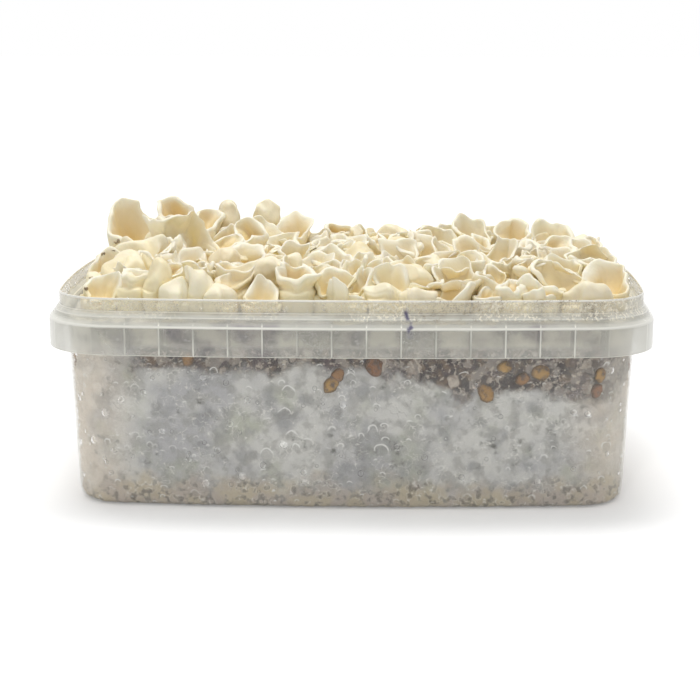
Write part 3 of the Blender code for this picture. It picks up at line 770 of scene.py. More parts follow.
def drop_shape(tub, grain):
    """The water drops: round caps, flat side on the cake and round side to the wall."""
    shares, heights, radii = drop_places(grain)
    draw = np.random.default_rng(29)
    places, along, up, inwards = wall_frames(tub, shares, heights, tub.wall + 0.06 * MM + 0.6 * radii)
    in_neck = heights > tub.height - tub.neck_height
    places += inwards * ((tub.neck_inset - wall_inset(tub, heights)) * in_neck)[:, None]
    frames = np.stack([up, along, -inwards], axis=1)
    sizes = np.stack([radii * draw.uniform(0.85, 1.2, len(radii)), radii, radii * 0.6], axis=1)
    around = np.arange(12) * TAU / 12
    lift = np.array([0.0, 0.4, 0.8, 1.2])[:, None]
    rings = np.stack([
        np.cos(lift) * np.cos(around),
        np.cos(lift) * np.sin(around),
        np.broadcast_to(np.sin(lift), (4, 12)),
    ], axis=-1)
    return spread(skin(rings, (0.0, 0.0, 0.0), (0.0, 0.0, 1.0), {}), places, frames, sizes)


def crumb_shape():
    """Crumbs of grain: at each place four small uneven balls, half sunk in what carries them."""
    draw = np.random.default_rng(31)
    rows = np.repeat(np.array(CRUMBS), 4, axis=0)
    count = len(rows)
    radii = rows[:, 3] * draw.uniform(0.35, 0.7, count) * MM
    places = rows[:, :3] * MM + draw.normal(size=(count, 3)) * rows[:, 3:] * (0.6, 0.2, 0.6) * MM
    frames = np.broadcast_to(np.eye(3), (count, 3, 3))
    shape = spread(ball(5, 8, 0.0), places, frames, radii[:, None] * draw.uniform(0.7, 1.3, (count, 3)))
    shape.points = wobble(shape.points, 17, 1.1 * MM, 0.12 * MM)
    return shape


def filling_petals(cap, tub):
    """Petals for the rest of the bed: jittered rows, left out near the listed petals. They rise by a bell
    towards the clump at the left back, and the closer ones stay under its caps."""
    draw = np.random.default_rng(3)
    step = cap.spacing
    columns = int(tub.length / step) + 1
    rows = int(tub.depth / (step * ROW_STEP)) + 1
    placed = np.array([(x, y) for x, y, *_ in PETALS]) * MM
    tall = np.array([(x, y) for x, y, rise, *_ in PETALS if rise > 14.0]) * MM
    border = outline(tub, tub.neck_inset + 5.5 * MM) * (cap.bed_length, 1.0)
    chosen = []
    for row in range(rows):
        for column in range(columns):
            x = (column + 0.5 * (row % 2) - columns / 2.0) * step
            y = (row - rows / 2.0 + 0.5) * step * ROW_STEP
            spot = np.array([x, y]) + draw.uniform(-0.22, 0.22, 2) * step
            mood = draw.random(8)
            if np.hypot(*(placed - spot).T).min() < 6.6 * MM or gap_to(border, spot[None])[0] <= 0.0:
                continue
            x, y = spot / MM
            clump = math.exp(-((x + 56.0) / 28.0) ** 2 - ((y - 32.0) / 26.0) ** 2)
            rise = 5.0 + 2.6 * mood[0] + 7.0 * clump
            if np.hypot(*(tall - spot).T).min() < 9.5 * MM:
                rise = min(rise, 6.0)
            away = mood[3] > 0.55
            forms = FORMS_AWAY if away else FORMS_TOWARDS
            faces = (90.0 if away else -90.0) + 150.0 * (mood[2] - 0.5)
            wide = 4.6 + 2.4 * mood[4]
            deep = wide * (0.7 + 0.3 * mood[5])
            chosen.append((x, y, rise, wide, deep, 50.0 * (mood[6] - 0.5), faces, 0.8 + 1.4 * mood[5],
                           forms[int(mood[1] * len(forms))]))
    return chosen


def inward_ways(border):
    """Inward normals of the sides of a closed counter-clockwise outline, each of length 1."""
    edges = np.roll(border, -1, axis=0) - border
    inwards = np.stack([-edges[:, 1], edges[:, 0]], axis=1)
    return inwards / np.hypot(inwards[:, 0], inwards[:, 1])[:, None]


def gap_to(border, spots):
    """Distance of spots to the nearest side of a closed, convex, counter-clockwise outline, less than
    0 outside it."""
    return ((spots[:, None, :] - border[None]) * inward_ways(border)[None]).sum(axis=2).min(axis=1)


def reach_of(index, directions, bed):
    """How far a petal reaches each way before it presses on its neighbours or the tub's neck.

    The half-way line to a neighbour is moved towards the slimmer of the two, as in a power diagram.
    """
    centres, girths, border = bed["centres"], bed["girths"], bed["border"]
    across = np.delete(centres - centres[index], index, axis=0)
    others = np.delete(girths, index)
    span = np.hypot(across[:, 0], across[:, 1])
    to_line = (span ** 2 + girths[index] ** 2 - others ** 2) / (2.0 * span) + bed["squeeze"]
    to_line = np.maximum(to_line, 0.35 * girths[index])
    near = np.maximum(directions @ (across / span[:, None]).T, 0.0) / to_line
    inwards = inward_ways(border)
    to_neck = np.maximum(((centres[index] - border) * inwards).sum(axis=1), 0.3 * MM)
    wall = (np.maximum(-directions @ inwards.T, 0.0) / to_neck).max(axis=1)
    return ((near ** 8).sum(axis=1) + wall ** 8) ** (-1.0 / 8.0)


def low_levels(rows, centres, beside):
    """Height over the rim (mm) of each petal's plug: a share of the mean rise around it, less beside
    the tub's neck, so that the outermost petals reach down behind it."""
    rises = np.array([row[2] for row in rows])
    spans = np.hypot(*(centres[:, None] - centres[None]).transpose(2, 0, 1))
    weights = np.exp(-(spans / (9.0 * MM)) ** 2)
    return 0.42 * (weights @ rises) / weights.sum(axis=1) - 4.0 * beside


def sway(points, border):
    """Bend the bed of caps as one piece: three wobbles that fade out at the neck and below the rim."""
    bent = points
    for seed, length, amount in ((1, 30.0, 1.5), (2, 13.0, 1.0), (5, 5.5, 0.42)):
        bent = wobble(bent, seed, length * MM, amount * MM)
    share = smooth_step(RIM - 1.0 * MM, RIM + 4.0 * MM, points[:, 2])
    share = share * smooth_step(0.0, 9.0 * MM, gap_to(border, points[:, :2]))
    return points + (bent - points) * share[:, None]


def creases(angles, count, depth, draw):
    """Creases at random places round a ring: the sum of bell curves of random width and depth."""
    places = draw.uniform(0.0, TAU, count)
    widths = draw.uniform(0.16, 0.38, count)
    depths = depth * draw.uniform(0.6, 1.3, count)
    apart = np.abs((angles[:, None] - places + math.pi) % TAU - math.pi)
    return (depths * np.exp(-(apart / widths) ** 2)).sum(axis=1)


def ruffles(angles, draw):
    """An uneven wave round a ring: cosines of two to seven turns, weaker the more turns they have."""
    wave = np.zeros_like(angles)
    for turns in range(2, 8):
        wave += draw.uniform(0.3, 1.0) / turns ** 0.6 * np.cos(turns * angles + draw.uniform(0.0, TAU))
    return wave


def closed_top(reach, top, last):
    """A closed form's rings over its sheet: a quarter ellipse up to the middle. Gives reaches, heights, how
    deep in a hollow each ring lies, which sets the painted shade there, and how near the edge, which sets the
    painted highlight."""
    turn = np.linspace(0.0, math.pi / 2.0, DOME_RINGS + 2)[1:-1, None]
    none = np.zeros(DOME_RINGS)
    return reach * np.cos(turn), top + (last - top) * np.sin(turn), none, none + DOME_HIGHLIGHT


def open_top(reach, top, last, thickness, cone):
    """An open form's rings over its sheet: a half circle for the lip, as thick as the petal, then the
    inner wall down to a bowl or a cone. Gives the same four things as a closed top."""
    bend = np.linspace(0.0, math.pi, LIP_RINGS + 2)[1:-1, None]
    sink = np.linspace(0.0, 1.0, BOWL_RINGS + 1)[:-1, None]
    share = (1.0 - cone) * np.cos(sink * math.pi / 2.0) + cone * (1.0 - sink)
    drop = (1.0 - cone) * np.sin(sink * math.pi / 2.0) + cone * sink
    reaches = [reach - thickness / 2.0 * (1.0 - np.cos(bend)), (reach - thickness) * share]
    heights = [top + thickness / 2.0 * np.sin(bend), top - (top - last) * drop]
    # how deep each ring lies in the bowl sets the painted shade in the hollow, and how near the lip sets the
    # painted highlight on it
    sunk = [np.zeros(LIP_RINGS), sink[:, 0] ** 0.55]
    edge = [np.ones(LIP_RINGS), (1.0 - sink[:, 0]) ** 4]
    return [np.concatenate(part) for part in (reaches, heights, sunk, edge)]


def petal(index, row, bed, seed):
    """One petal as a closed shell round an upright axis, pulled out of round.

    A plug fills its cell between the neighbours up to the low level. On it stands a sheet that
    spreads towards its lip, whose plan radius is the softer of its own ellipse and its reach, less
    its creases. The lip follows a tilted ring with ruffles. An open or a closed top ends the shell,
    and the whole leans back from the way it opens.
    """
    rise, wide, deep, turn, faces, hollow, form_name = row[2:]
    form = FORMS[form_name]
    closed = form["roof"] > 0.0
    draw = np.random.default_rng(seed)
    angles = np.arange(PETAL_POINTS) * TAU / PETAL_POINTS
    directions = np.stack([np.cos(angles), np.sin(angles)], axis=1)
    centre = bed["centres"][index]
    beside = bed["beside"][index]

    # the two reaches in plan: of the lip, and of the plug and the sheet's foot
    local = angles - math.radians(turn)
    own = wide * deep / np.hypot(deep * np.cos(local), wide * np.sin(local)) * MM
    cell = reach_of(index, directions, bed)
    fold = creases(angles, form["folds"], form["fold"], draw)
    lip_reach = softer(own * 1.15, cell * 1.1, 5.0)
    lip_reach = lip_reach * (1.0 - fold) * (1.0 + 0.11 * ruffles(angles, draw))
    lip_reach = np.minimum(lip_reach, cell * (1.12 - 0.1 * beside))
    plug_full = softer(own * 1.35, cell, 6.0)
    thickness = min(form["lip"] * MM, 0.4 * lip_reach.min()) * draw.uniform(0.8, 1.2)

    # the heights of the plug's foot, its shoulder and the lip
    facing = (1.0 + np.cos(angles - math.radians(faces))) / 2.0
    wave = (ruffles(angles, draw) - 2.0 * fold / form["fold"]) * 0.85 * form["wave"]
    wave = wave * np.clip(wide / 7.5, 0.3, 1.1)
    rise_of_lip = rise - form["roof"] * lip_reach.mean() / MM
    level = min(bed["levels"][index], rise_of_lip - 0.6)
    tilt = (rise_of_lip - level) * form["open"]
    top = RIM + (rise_of_lip - tilt * facing ** form["dip"] + wave) * MM - 0.4 * thickness
    top = np.maximum(top, RIM + (0.5 - 8.0 * (1.0 - beside)) * MM + 0.3 * wave * MM)
    base = float(fill_height(*centre)) + FOOT_GAP
    shoulder = np.minimum(RIM + (level - 1.2) * MM, top - 1.2 * MM)
    shoulder = np.maximum(shoulder, base + 0.6 * MM)
    top = np.maximum(top, shoulder + 0.8 * MM)

    # rings from the foot up, with how deep in a hollow each lies, for the painted shade, and how near the
    # edge, for the painted highlight
    plug = np.linspace(0.0, 1.0, PLUG_RINGS)[:, None]
    climb = np.linspace(0.0, 1.0, SHEET_RINGS + 1)[1:, None]
    flare = form["flare"] + (0.99 - form["flare"]) * beside
    share = flare + (1.0 - flare) * climb ** 1.4 + form["swell"] * np.sin(math.pi * climb)
    share = share - form["curl"] * np.exp(-((climb - 0.86) / 0.10) ** 2)
    blend = smooth_step(0.0, 0.35, climb)
    if closed:
        last = RIM + rise * MM
        ending = closed_top(lip_reach, top, last)
    else:
        last = max(top.min() - hollow * MM, base + 1.0 * MM)
        ending = open_top(lip_reach, top, last, thickness, form["cone"])
    lip_highlight = DOME_HIGHLIGHT if closed else 1.0
    reaches = np.concatenate([
        plug_full * (0.82 + 0.18 * np.sin(math.pi / 2.0 * plug)),
        (plug_full * (1.0 - blend) + lip_reach * blend) * share,
        ending[0],
    ])
    heights = np.concatenate([
        base + (shoulder - base) * plug,
        shoulder + (top - shoulder) * climb,
        ending[1],
    ])
    # the painted shade deepens down into the bowl; the painted highlight grows up the outer wall and is
    # strongest on the lip
    sunk = np.concatenate([np.zeros(PLUG_RINGS + SHEET_RINGS), ending[2]])[:, None]
    edge = np.concatenate([np.zeros(PLUG_RINGS), lip_highlight * climb[:, 0] ** 2, ending[3]])[:, None]

    back = -np.array([math.cos(math.radians(faces)), math.sin(math.radians(faces))])
    lean = 0.18 * (1.0 - beside) * tilt * MM * back
    share_up = smooth_step(shoulder.min(), top.max(), heights)
    rings = np.concatenate([
        centre + directions * reaches[:, :, None] + lean * share_up[:, :, None],
        heights[:, :, None],
    ], axis=2)
    tip = centre + lean * float(smooth_step(shoulder.min(), top.max(), last))
    standing = smooth_step(0.8 * MM, 3.0 * MM, top - shoulder)
    # marks for the flesh: hollow carries the painted shade deep in a cup, edge the painted highlight on the
    # lips and upper walls; both are weaker where the petal stands low
    marks = {
        "hollow": (sunk * (0.3 + 0.7 * standing.mean()), 0.0, 0.0 if closed else 1.0),
        "edge": (edge * standing, 0.0, DOME_HIGHLIGHT if closed else 0.0),
    }
    shape = skin(rings, (*centre, base), (*tip, last), marks)
    shape.points = wobble(sway(shape.points, bed["border"]), 3, 6.0 * MM, 0.26 * MM)
    return shape


class Nodes:
    """A node tree being filled, with one short way to make each kind of node that the finishes use.

    A value is a number, a vector or another node's output. place is where patterns are read: the
    object's own coordinates in a material, the given vector in a shared group.
    """

    def __init__(self, tree, place=None):
        self.tree = tree
        self.place = place

    def make(self, kind, values=(), **settings):
        """A node of a kind with its settings. values holds inputs by name or number, set or linked."""
        made = self.tree.nodes.new(f"ShaderNode{kind}")
        for name, setting in settings.items():
            setattr(made, name, setting)
        for label, value in dict(values).items():
            if isinstance(value, bpy.types.NodeSocket):
                self.tree.links.new(value, made.inputs[label])
            else:
                made.inputs[label].default_value = value
        return made

    def feed(self, node, **values):
        """Link outputs to a node's inputs, named with _ for a space."""
        for label, value in values.items():
            self.tree.links.new(value, node.inputs[label.replace("_", " ")])

    def maths(self, operation, *values, clamp=False):
        """The result of a Math node."""
        return self.make("Math", enumerate(values), operation=operation, use_clamp=clamp).outputs[0]

    def times(self, *values):
        """The product of the values."""
        return reduce(lambda so_far, value: self.maths("MULTIPLY", so_far, value), values)

    def plus(self, *values):
        """The sum of the values."""
        return reduce(lambda so_far, value: self.maths("ADD", so_far, value), values)

    def most(self, *values):
        """The largest of the values."""
        return reduce(lambda so_far, value: self.maths("MAXIMUM", so_far, value), values)

    def rest(self, value, whole=1.0):
        """What a value leaves of a whole."""
        return self.maths("SUBTRACT", whole, value)

    def unsigned(self, value):
        """A value without its sign."""
        return self.maths("ABSOLUTE", value)

    def away(self, value, middle):
        """How far a value is from a middle, whichever way."""
        return self.unsigned(self.maths("SUBTRACT", value, middle))

    def ramp(self, value, low, high, start=0.0, stop=1.0):
        """A value mapped smoothly from low..high to start..stop, and level outside."""
        ends = {"Value": value, "From Min": low, "From Max": high, "To Min": start, "To Max": stop}
        return self.make("MapRange", ends, interpolation_type="SMOOTHSTEP").outputs["Result"]

    def stripe(self, value, low, high, soft):
        """1 between two values, falling smoothly to 0 over a soft distance on each side."""
        return self.times(self.ramp(value, low - soft, low + soft),
                          self.ramp(value, high - soft, high + soft, 1.0, 0.0))

    def vector(self, operation, *values):
        """The result of a Vector Math node."""
        return self.make("VectorMath", enumerate(values), operation=operation).outputs[0]

    def split(self, vector=None):
        """The X, Y and Z of a vector, or else of the place."""
        return self.make("SeparateXYZ", {0: self.place if vector is None else vector}).outputs

    def mark(self, name):
        """The value of one of the mesh's marks."""
        return self.make("Attribute", attribute_name=name).outputs["Fac"]

    def noise(self, scale, detail, output="Fac"):
        """Noise at the place."""
        values = {"Vector": self.place, "Scale": scale, "Detail": detail}
        return self.make("TexNoise", values).outputs[output]

    def shared(self, name, vector=None, **values):
        """The outputs of a shared group, laid on a vector or else on the place."""
        inputs = {label.replace("_", " "): value for label, value in values.items()}
        inputs["Vector"] = self.place if vector is None else vector
        return self.make("Group", inputs, node_tree=bpy.data.node_groups[name]).outputs

    def blotches(self, scale, detail, low, high, vector=None):
        """Soft blotches, as a mask."""
        return self.shared("Soft blotches", vector, Scale=scale, Detail=detail, Low=low, High=high)[0]

    def threads(self, scale, width, low, high, vector=None):
        """Fine threads, as a mask."""
        return self.shared("Fine threads", vector, Scale=scale, Width=width, Low=low, High=high)[0]

    def mix(self, share, under, over):
        """A colour, with another laid over a share of it."""
        under, over = [
            colour if isinstance(colour, bpy.types.NodeSocket) else (*colour, 1.0)
            for colour in (under, over)
        ]
        return self.make("Mix", {0: share, 6: under, 7: over}, data_type="RGBA").outputs[2]

    def lay(self, colour, *layers):
        """A colour, with others laid over it one by one: each layer is its share and its colour."""
        return reduce(lambda so_far, layer: self.mix(layer[0], so_far, layer[1]), layers, colour)

    def bump(self, height, depth):
        """The normal of a surface that rises by a height times a depth."""
        values = {"Height": height, "Distance": depth, "Strength": 1.0}
        return self.make("Bump", values).outputs["Normal"]

    def looked_at(self):
        """1 where the camera sees a thing straight, in a reflection or through water, 0 for its light."""
        rays = self.make("LightPath").outputs
        return self.most(rays["Is Camera Ray"], rays["Is Glossy Ray"], rays["Is Transmission Ray"])


def group(name, given, results):
    """A new shared node group: a vector and numbers with their start values go in, numbers come out."""
    tree = bpy.data.node_groups.new(name, "ShaderNodeTree")
    tree.interface.new_socket(name="Vector", in_out="INPUT", socket_type="NodeSocketVector")
    for label, start in given.items():
        socket = tree.interface.new_socket(name=label, in_out="INPUT", socket_type="NodeSocketFloat")
        socket.default_value = start
    for label in results:
        tree.interface.new_socket(name=label, in_out="OUTPUT", socket_type="NodeSocketFloat")
    inputs = tree.nodes.new("NodeGroupInput").outputs
    return Nodes(tree, inputs["Vector"]), inputs, tree.nodes.new("NodeGroupOutput")


def blotch_group():
    """Soft blotches: noise whose values between Low and High become a mask from 0 to 1."""
    nodes, given, result = group(
        "Soft blotches", {"Scale": 100.0, "Detail": 4.0, "Low": 0.4, "High": 0.6}, ["Mask"])
    noise = nodes.noise(given["Scale"], given["Detail"])
    nodes.feed(result, Mask=nodes.ramp(noise, given["Low"], given["High"]))


def thread_group():
    """Fine curling threads: the contour lines of a noise, kept only where a second noise is high."""
    nodes, given, result = group(
        "Fine threads", {"Scale": 300.0, "Width": 0.02, "Low": 0.5, "High": 0.6}, ["Mask"])
    off = nodes.away(nodes.noise(given["Scale"], 1.5), 0.5)
    line = nodes.ramp(off, 0.0, given["Width"], 1.0, 0.0)
    patch = nodes.noise(nodes.times(given["Scale"], 0.4), 2.0)
    kept = nodes.ramp(patch, given["Low"], given["High"])
    nodes.feed(result, Mask=nodes.times(line, kept))


def band_group():
    """A level band: 1 between Bottom and Top, soft at its edges, which wander up and down with noise."""
    nodes, given, result = group("Level band", {
        "Bottom": 0.0, "Top": 1.0, "Softness": 0.001, "Wander": 0.002, "Wander Scale": 60.0}, ["Mask"])
    noise = nodes.noise(given["Wander Scale"], 3.0)
    shift = nodes.times(nodes.maths("SUBTRACT", noise, 0.5), given["Wander"])
    level = nodes.plus(nodes.split()["Z"], shift)
    above = []
    for label in ("Bottom", "Top"):
        low = nodes.maths("SUBTRACT", given[label], given["Softness"])
        above.append(nodes.ramp(level, low, nodes.plus(given[label], given["Softness"])))
    nodes.feed(result, Mask=nodes.times(above[0], nodes.rest(above[1])))


def spot_group():
    """Round spots: discs about the cell middles of a Voronoi pattern, kept for a share of the cells, and
    bright arcs along their upper edges, a painted highlight as of light from above on the rim of a drop. Warp
    is how far noise pushes them out of round."""
    nodes, given, result = group("Round spots", {
        "Scale": 150.0, "Radius": 0.25, "Width": 0.05, "Share": 0.5, "Warp": 0.0005}, ["Disc", "Arc"])
    noise = nodes.noise(nodes.times(given["Scale"], 2.0), 0.0, "Color")
    push = nodes.make("VectorMath", {
        0: nodes.vector("SUBTRACT", noise, (0.5, 0.5, 0.5)), "Scale": given["Warp"]}, operation="SCALE")
    warped = nodes.vector("ADD", given["Vector"], push.outputs[0])
    cells = nodes.make("TexVoronoi", {"Vector": warped, "Scale": given["Scale"]}).outputs
    which, how_wide, turned = list(nodes.make("SeparateColor", {0: cells["Color"]}).outputs)[:3]
    kept = nodes.maths("LESS_THAN", which, given["Share"])
    radius = nodes.times(given["Radius"], nodes.plus(nodes.times(how_wide, 0.7), 0.6))
    over = nodes.maths("SUBTRACT", cells["Distance"], radius)
    disc = nodes.ramp(over, nodes.times(given["Width"], -1.0), 0.0, 1.0, 0.0)
    line = nodes.ramp(nodes.unsigned(over), 0.0, given["Width"], 1.0, 0.0)
    offset = nodes.vector("SUBTRACT", warped, cells["Position"])
    lift = nodes.maths("DIVIDE", nodes.times(nodes.split(offset)["Z"], given["Scale"]), radius)
    # the arc keeps to the upper side of its spot: a painted highlight of light from above
    upper = nodes.ramp(nodes.plus(lift, nodes.maths("SUBTRACT", turned, 0.5)), -0.1, 0.6)
    bright = nodes.plus(nodes.times(how_wide, 0.65), 0.35)
    nodes.feed(result, Disc=nodes.times(disc, kept), Arc=nodes.times(line, upper, kept, bright))


def new_material(name, roughness, **constants):
    """A material with its node maker and its shader, on whose own sockets the constants are set."""
    made = bpy.data.materials.new(name)
    made.use_nodes = True
    tree = made.node_tree
    shader = tree.nodes["Principled BSDF"]
    shader.inputs["Roughness"].default_value = roughness
    for label, value in constants.items():
        shader.inputs[label.replace("_", " ")].default_value = value
    return made, Nodes(tree, tree.nodes.new("ShaderNodeTexCoord").outputs["Object"]), shader


def fin_highlights(nodes, tub):
    """Upright lines of painted highlight where the fins meet the skirt: along X on the long sides, where they
    fade before the corners, and along Y on the short ones."""
    x, y, _ = nodes.split()
    lines = []
    for along, across, reach in ((x, y, tub.depth / 2.0), (y, x, tub.length / 2.0)):
        off = nodes.away(nodes.maths("FRACT", nodes.maths("DIVIDE", along, tub.fin_pitch)), 0.5)
        side = nodes.ramp(nodes.unsigned(across), reach - 9.0 * MM, reach - 7.0 * MM)
        lines.append(nodes.times(nodes.ramp(off, 0.012, 0.032, 1.0, 0.0), side))
    inner = nodes.ramp(nodes.unsigned(x), 70.0 * MM, 72.0 * MM, 1.0, 0.15)
    return nodes.most(nodes.times(lines[0], inner), lines[1])


def rim_highlights(nodes, tub, skirt):
    """Painted highlight lines of the moulding: its lower and upper edges, its fins and the corners of its
    ledge.
    """
    neck_foot, shoulder, skirt_foot = rim_levels(tub)
    height = nodes.split()["Z"]
    foot = nodes.stripe(height, skirt_foot - 0.2 * MM, skirt_foot + 0.15 * MM, 0.1 * MM)
    turn = nodes.stripe(height, shoulder - 0.5 * MM, shoulder + 0.15 * MM, 0.25 * MM)
    lip = nodes.stripe(height, tub.height - 0.5 * MM, tub.height + 1.0 * MM, 0.2 * MM)
    edge = nodes.most(nodes.times(nodes.most(foot, turn), nodes.mark("skirt")), lip)
    under = nodes.ramp(height, shoulder, shoulder + 1.5 * MM, 0.5, 0.15)
    uneven = nodes.plus(nodes.times(nodes.blotches(45.0, 3.0, 0.38, 0.60), 0.75), 0.25)
    fins = nodes.times(fin_highlights(nodes, tub), skirt, under, uneven)
    corners = [
        nodes.times(nodes.stripe(height, corner - 0.1 * MM, corner + 0.15 * MM, 0.12 * MM), 0.4)
        for corner in (neck_foot, ledge_step(tub))
    ]
    return nodes.most(nodes.times(edge, 0.7), fins, *corners)


def neck_froth(nodes, neck):
    """Froth in the neck, less of it at the left: dark fine threads and pale bubbles, both in patches."""
    frothy = nodes.times(neck, nodes.ramp(nodes.split()["X"], -30.0 * MM, 5.0 * MM, 0.35, 1.0))
    threads = nodes.threads(1300.0, 0.05, 0.44, 0.56)
    bubbles = nodes.blotches(1100.0, 3.0, 0.52, 0.60)
    return (nodes.times(threads, frothy, nodes.blotches(38.0, 2.0, 0.44, 0.58)),
            nodes.times(bubbles, frothy, nodes.blotches(45.0, 2.0, 0.40, 0.56)))


def neck_drip(nodes, tub):
    """The dark drip on the front: a slanting streak with ragged sides, broken up by blotches."""
    x, y, height = nodes.split()
    ragged = nodes.times(nodes.blotches(260.0, 3.0, 0.2, 0.8), 2.4 * MM)
    # the slant and the ragged sides shift the streak's top by 13.6 mm, which is made up for here
    off = nodes.away(nodes.plus(x, ragged, nodes.times(height, 0.2)), tub.stain_place + 13.6 * MM)
    band = nodes.shared("Level band", Bottom=54.0 * MM, Top=62.6 * MM, Softness=0.8 * MM,
                        Wander=6.0 * MM, Wander_Scale=200.0)[0]
    front = nodes.ramp(nodes.times(y, -1.0), 40.0 * MM, 50.0 * MM, 0.0, 0.9)
    streak = nodes.ramp(off, 0.2 * MM, 1.6 * MM, 1.0, 0.0)
    return nodes.times(streak, band, front, nodes.blotches(330.0, 4.0, 0.38, 0.54))


def plastic_material(tub):
    """Milky polypropylene: clear enough to see the grain, whiter at a slant, with painted highlight lines
    along its edges, fins and ledge corners, and froth and a dark drip in the neck. More light passes through
    it than is seen through it."""
    made, nodes, shader = new_material("milky plastic", 0.22, IOR=1.49)
    neck_foot, shoulder, skirt_foot = rim_levels(tub)
    x, _, height = nodes.split()
    neck = nodes.stripe(height, neck_foot - 2.0 * MM, tub.height + 1.0 * MM, 0.5 * MM)
    ledge = nodes.stripe(height, shoulder + 0.5 * MM, neck_foot - 0.2 * MM, 0.3 * MM)
    skirt = nodes.stripe(height, skirt_foot, neck_foot - 1.0 * MM, 0.5 * MM)
    skirt = nodes.times(skirt, nodes.mark("skirt"))
    # bright: the painted highlight lines, laid on as near-white colour and as more opacity
    bright = rim_highlights(nodes, tub, skirt)
    froth, foam = neck_froth(nodes, neck)
    drip = neck_drip(nodes, tub)
    inner = nodes.ramp(nodes.unsigned(x), 62.0 * MM, 76.0 * MM, 1.0, 0.15)
    between_lines = nodes.maths("SUBTRACT", 0.5, bright, clamp=True)
    stain = nodes.times(nodes.blotches(85.0, 3.0, 0.50, 0.66), skirt, between_lines, inner)
    tint = nodes.lay(
        tub.plastic,
        # painted highlight
        (bright, linear(255, 253, 244)),
        (froth, linear(132, 118, 96)),
        (foam, linear(255, 250, 234)),
        (stain, linear(128, 118, 142)),
        (drip, linear(64, 58, 104)),
    )
    slant = nodes.make("LayerWeight", {"Blend": 0.35}).outputs["Facing"]
    haze = nodes.times(slant, nodes.ramp(height, 0.0, 6.0 * MM, 0.2, 1.0), nodes.plus(skirt, 0.34))
    cloud = nodes.blotches(60.0, 3.0, 0.35, 0.70)
    shares = ((skirt, tub.skirt_veil), (cloud, 0.03), (neck, 0.20), (froth, 0.35), (foam, 0.30),
              (drip, 0.6), (ledge, 0.12))
    veil = nodes.plus(haze, tub.veil, *[nodes.times(mask, share) for mask, share in shares])
    # the painted highlight lines are also more opaque
    veil = nodes.maths("ADD", veil, bright, clamp=True)
    let_through = nodes.times(nodes.make("LightPath").outputs["Is Shadow Ray"], 0.6)
    veil = nodes.times(veil, nodes.rest(let_through))
    waves = nodes.bump(nodes.blotches(160.0, 2.0, 0.2, 0.8), 0.04 * MM)
    nodes.feed(shader, Base_Color=tint, Alpha=veil, Normal=waves)
    return made


def mycelium(nodes, grain, end, clear, aside):
    """Clouds of growth: cool, sage and grey blotches and crumbly patches over the palest growth, warmer
    at the tub's ends, with dark flecks in places."""
    warm = nodes.times(end, nodes.rest(nodes.times(nodes.blotches(70.0, 4.0, 0.42, 0.62, aside), 0.35), 0.85))
    fleck = nodes.times(nodes.blotches(330.0, 6.0, 0.56, 0.74), nodes.blotches(75.0, 2.0, 0.46, 0.58, aside))
    return nodes.lay(
        grain.mycelium,
        (nodes.times(nodes.blotches(60.0, 3.0, 0.42, 0.66), 0.7), linear(178, 178, 185)),
        (nodes.times(nodes.blotches(95.0, 4.0, 0.50, 0.74), 0.7), linear(182, 186, 166)),
        (nodes.times(nodes.blotches(160.0, 5.0, 0.50, 0.70), 0.65), linear(146, 146, 150)),
        (nodes.times(nodes.blotches(250.0, 7.0, 0.46, 0.62, aside), 0.5), linear(156, 154, 150)),
        (warm, linear(250, 234, 214)),
        (nodes.times(fleck, 0.85, clear), linear(84, 84, 78)),
    )


def low_granules(nodes, cloud):
    """A colour, with beige granules and dark gaps between them laid over its lowest part."""
    low = nodes.shared("Level band", Bottom=-9.0 * MM, Top=8.0 * MM, Softness=3.5 * MM,
                       Wander=18.0 * MM, Wander_Scale=110.0)[0]
    beige = nodes.mix(nodes.blotches(120.0, 3.0, 0.40, 0.60), linear(214, 199, 170), linear(208, 193, 180))
    speck = nodes.times(nodes.blotches(520.0, 8.0, 0.48, 0.66), 0.85)
    return nodes.mix(nodes.times(low, 0.8), cloud, nodes.mix(speck, beige, linear(104, 94, 82)))


def wall_spots(nodes, colour):
    """A colour, with faint grey discs of painted shade and bright arcs of painted highlight, of two sizes,
    below the dark band, where drops and bubbles press between grain and wall."""
    below = nodes.ramp(nodes.split()["Z"], 46.0 * MM, 48.0 * MM, 1.0, 0.0)
    for scale, width, share, depth in ((150.0, 0.05, 0.45, 0.18), (300.0, 0.09, 0.42, 0.12)):
        disc, arc_highlight = nodes.shared(
            "Round spots", Scale=scale, Radius=0.24, Width=width, Share=share, Warp=0.2 / scale)
        colour = nodes.lay(
            colour,
            # painted shade inside each drop
            (nodes.times(disc, below, depth), linear(90, 88, 84)),
            # painted highlight along each drop's upper rim
            (nodes.times(arc_highlight, below), linear(255, 255, 252)),
        )
    return colour


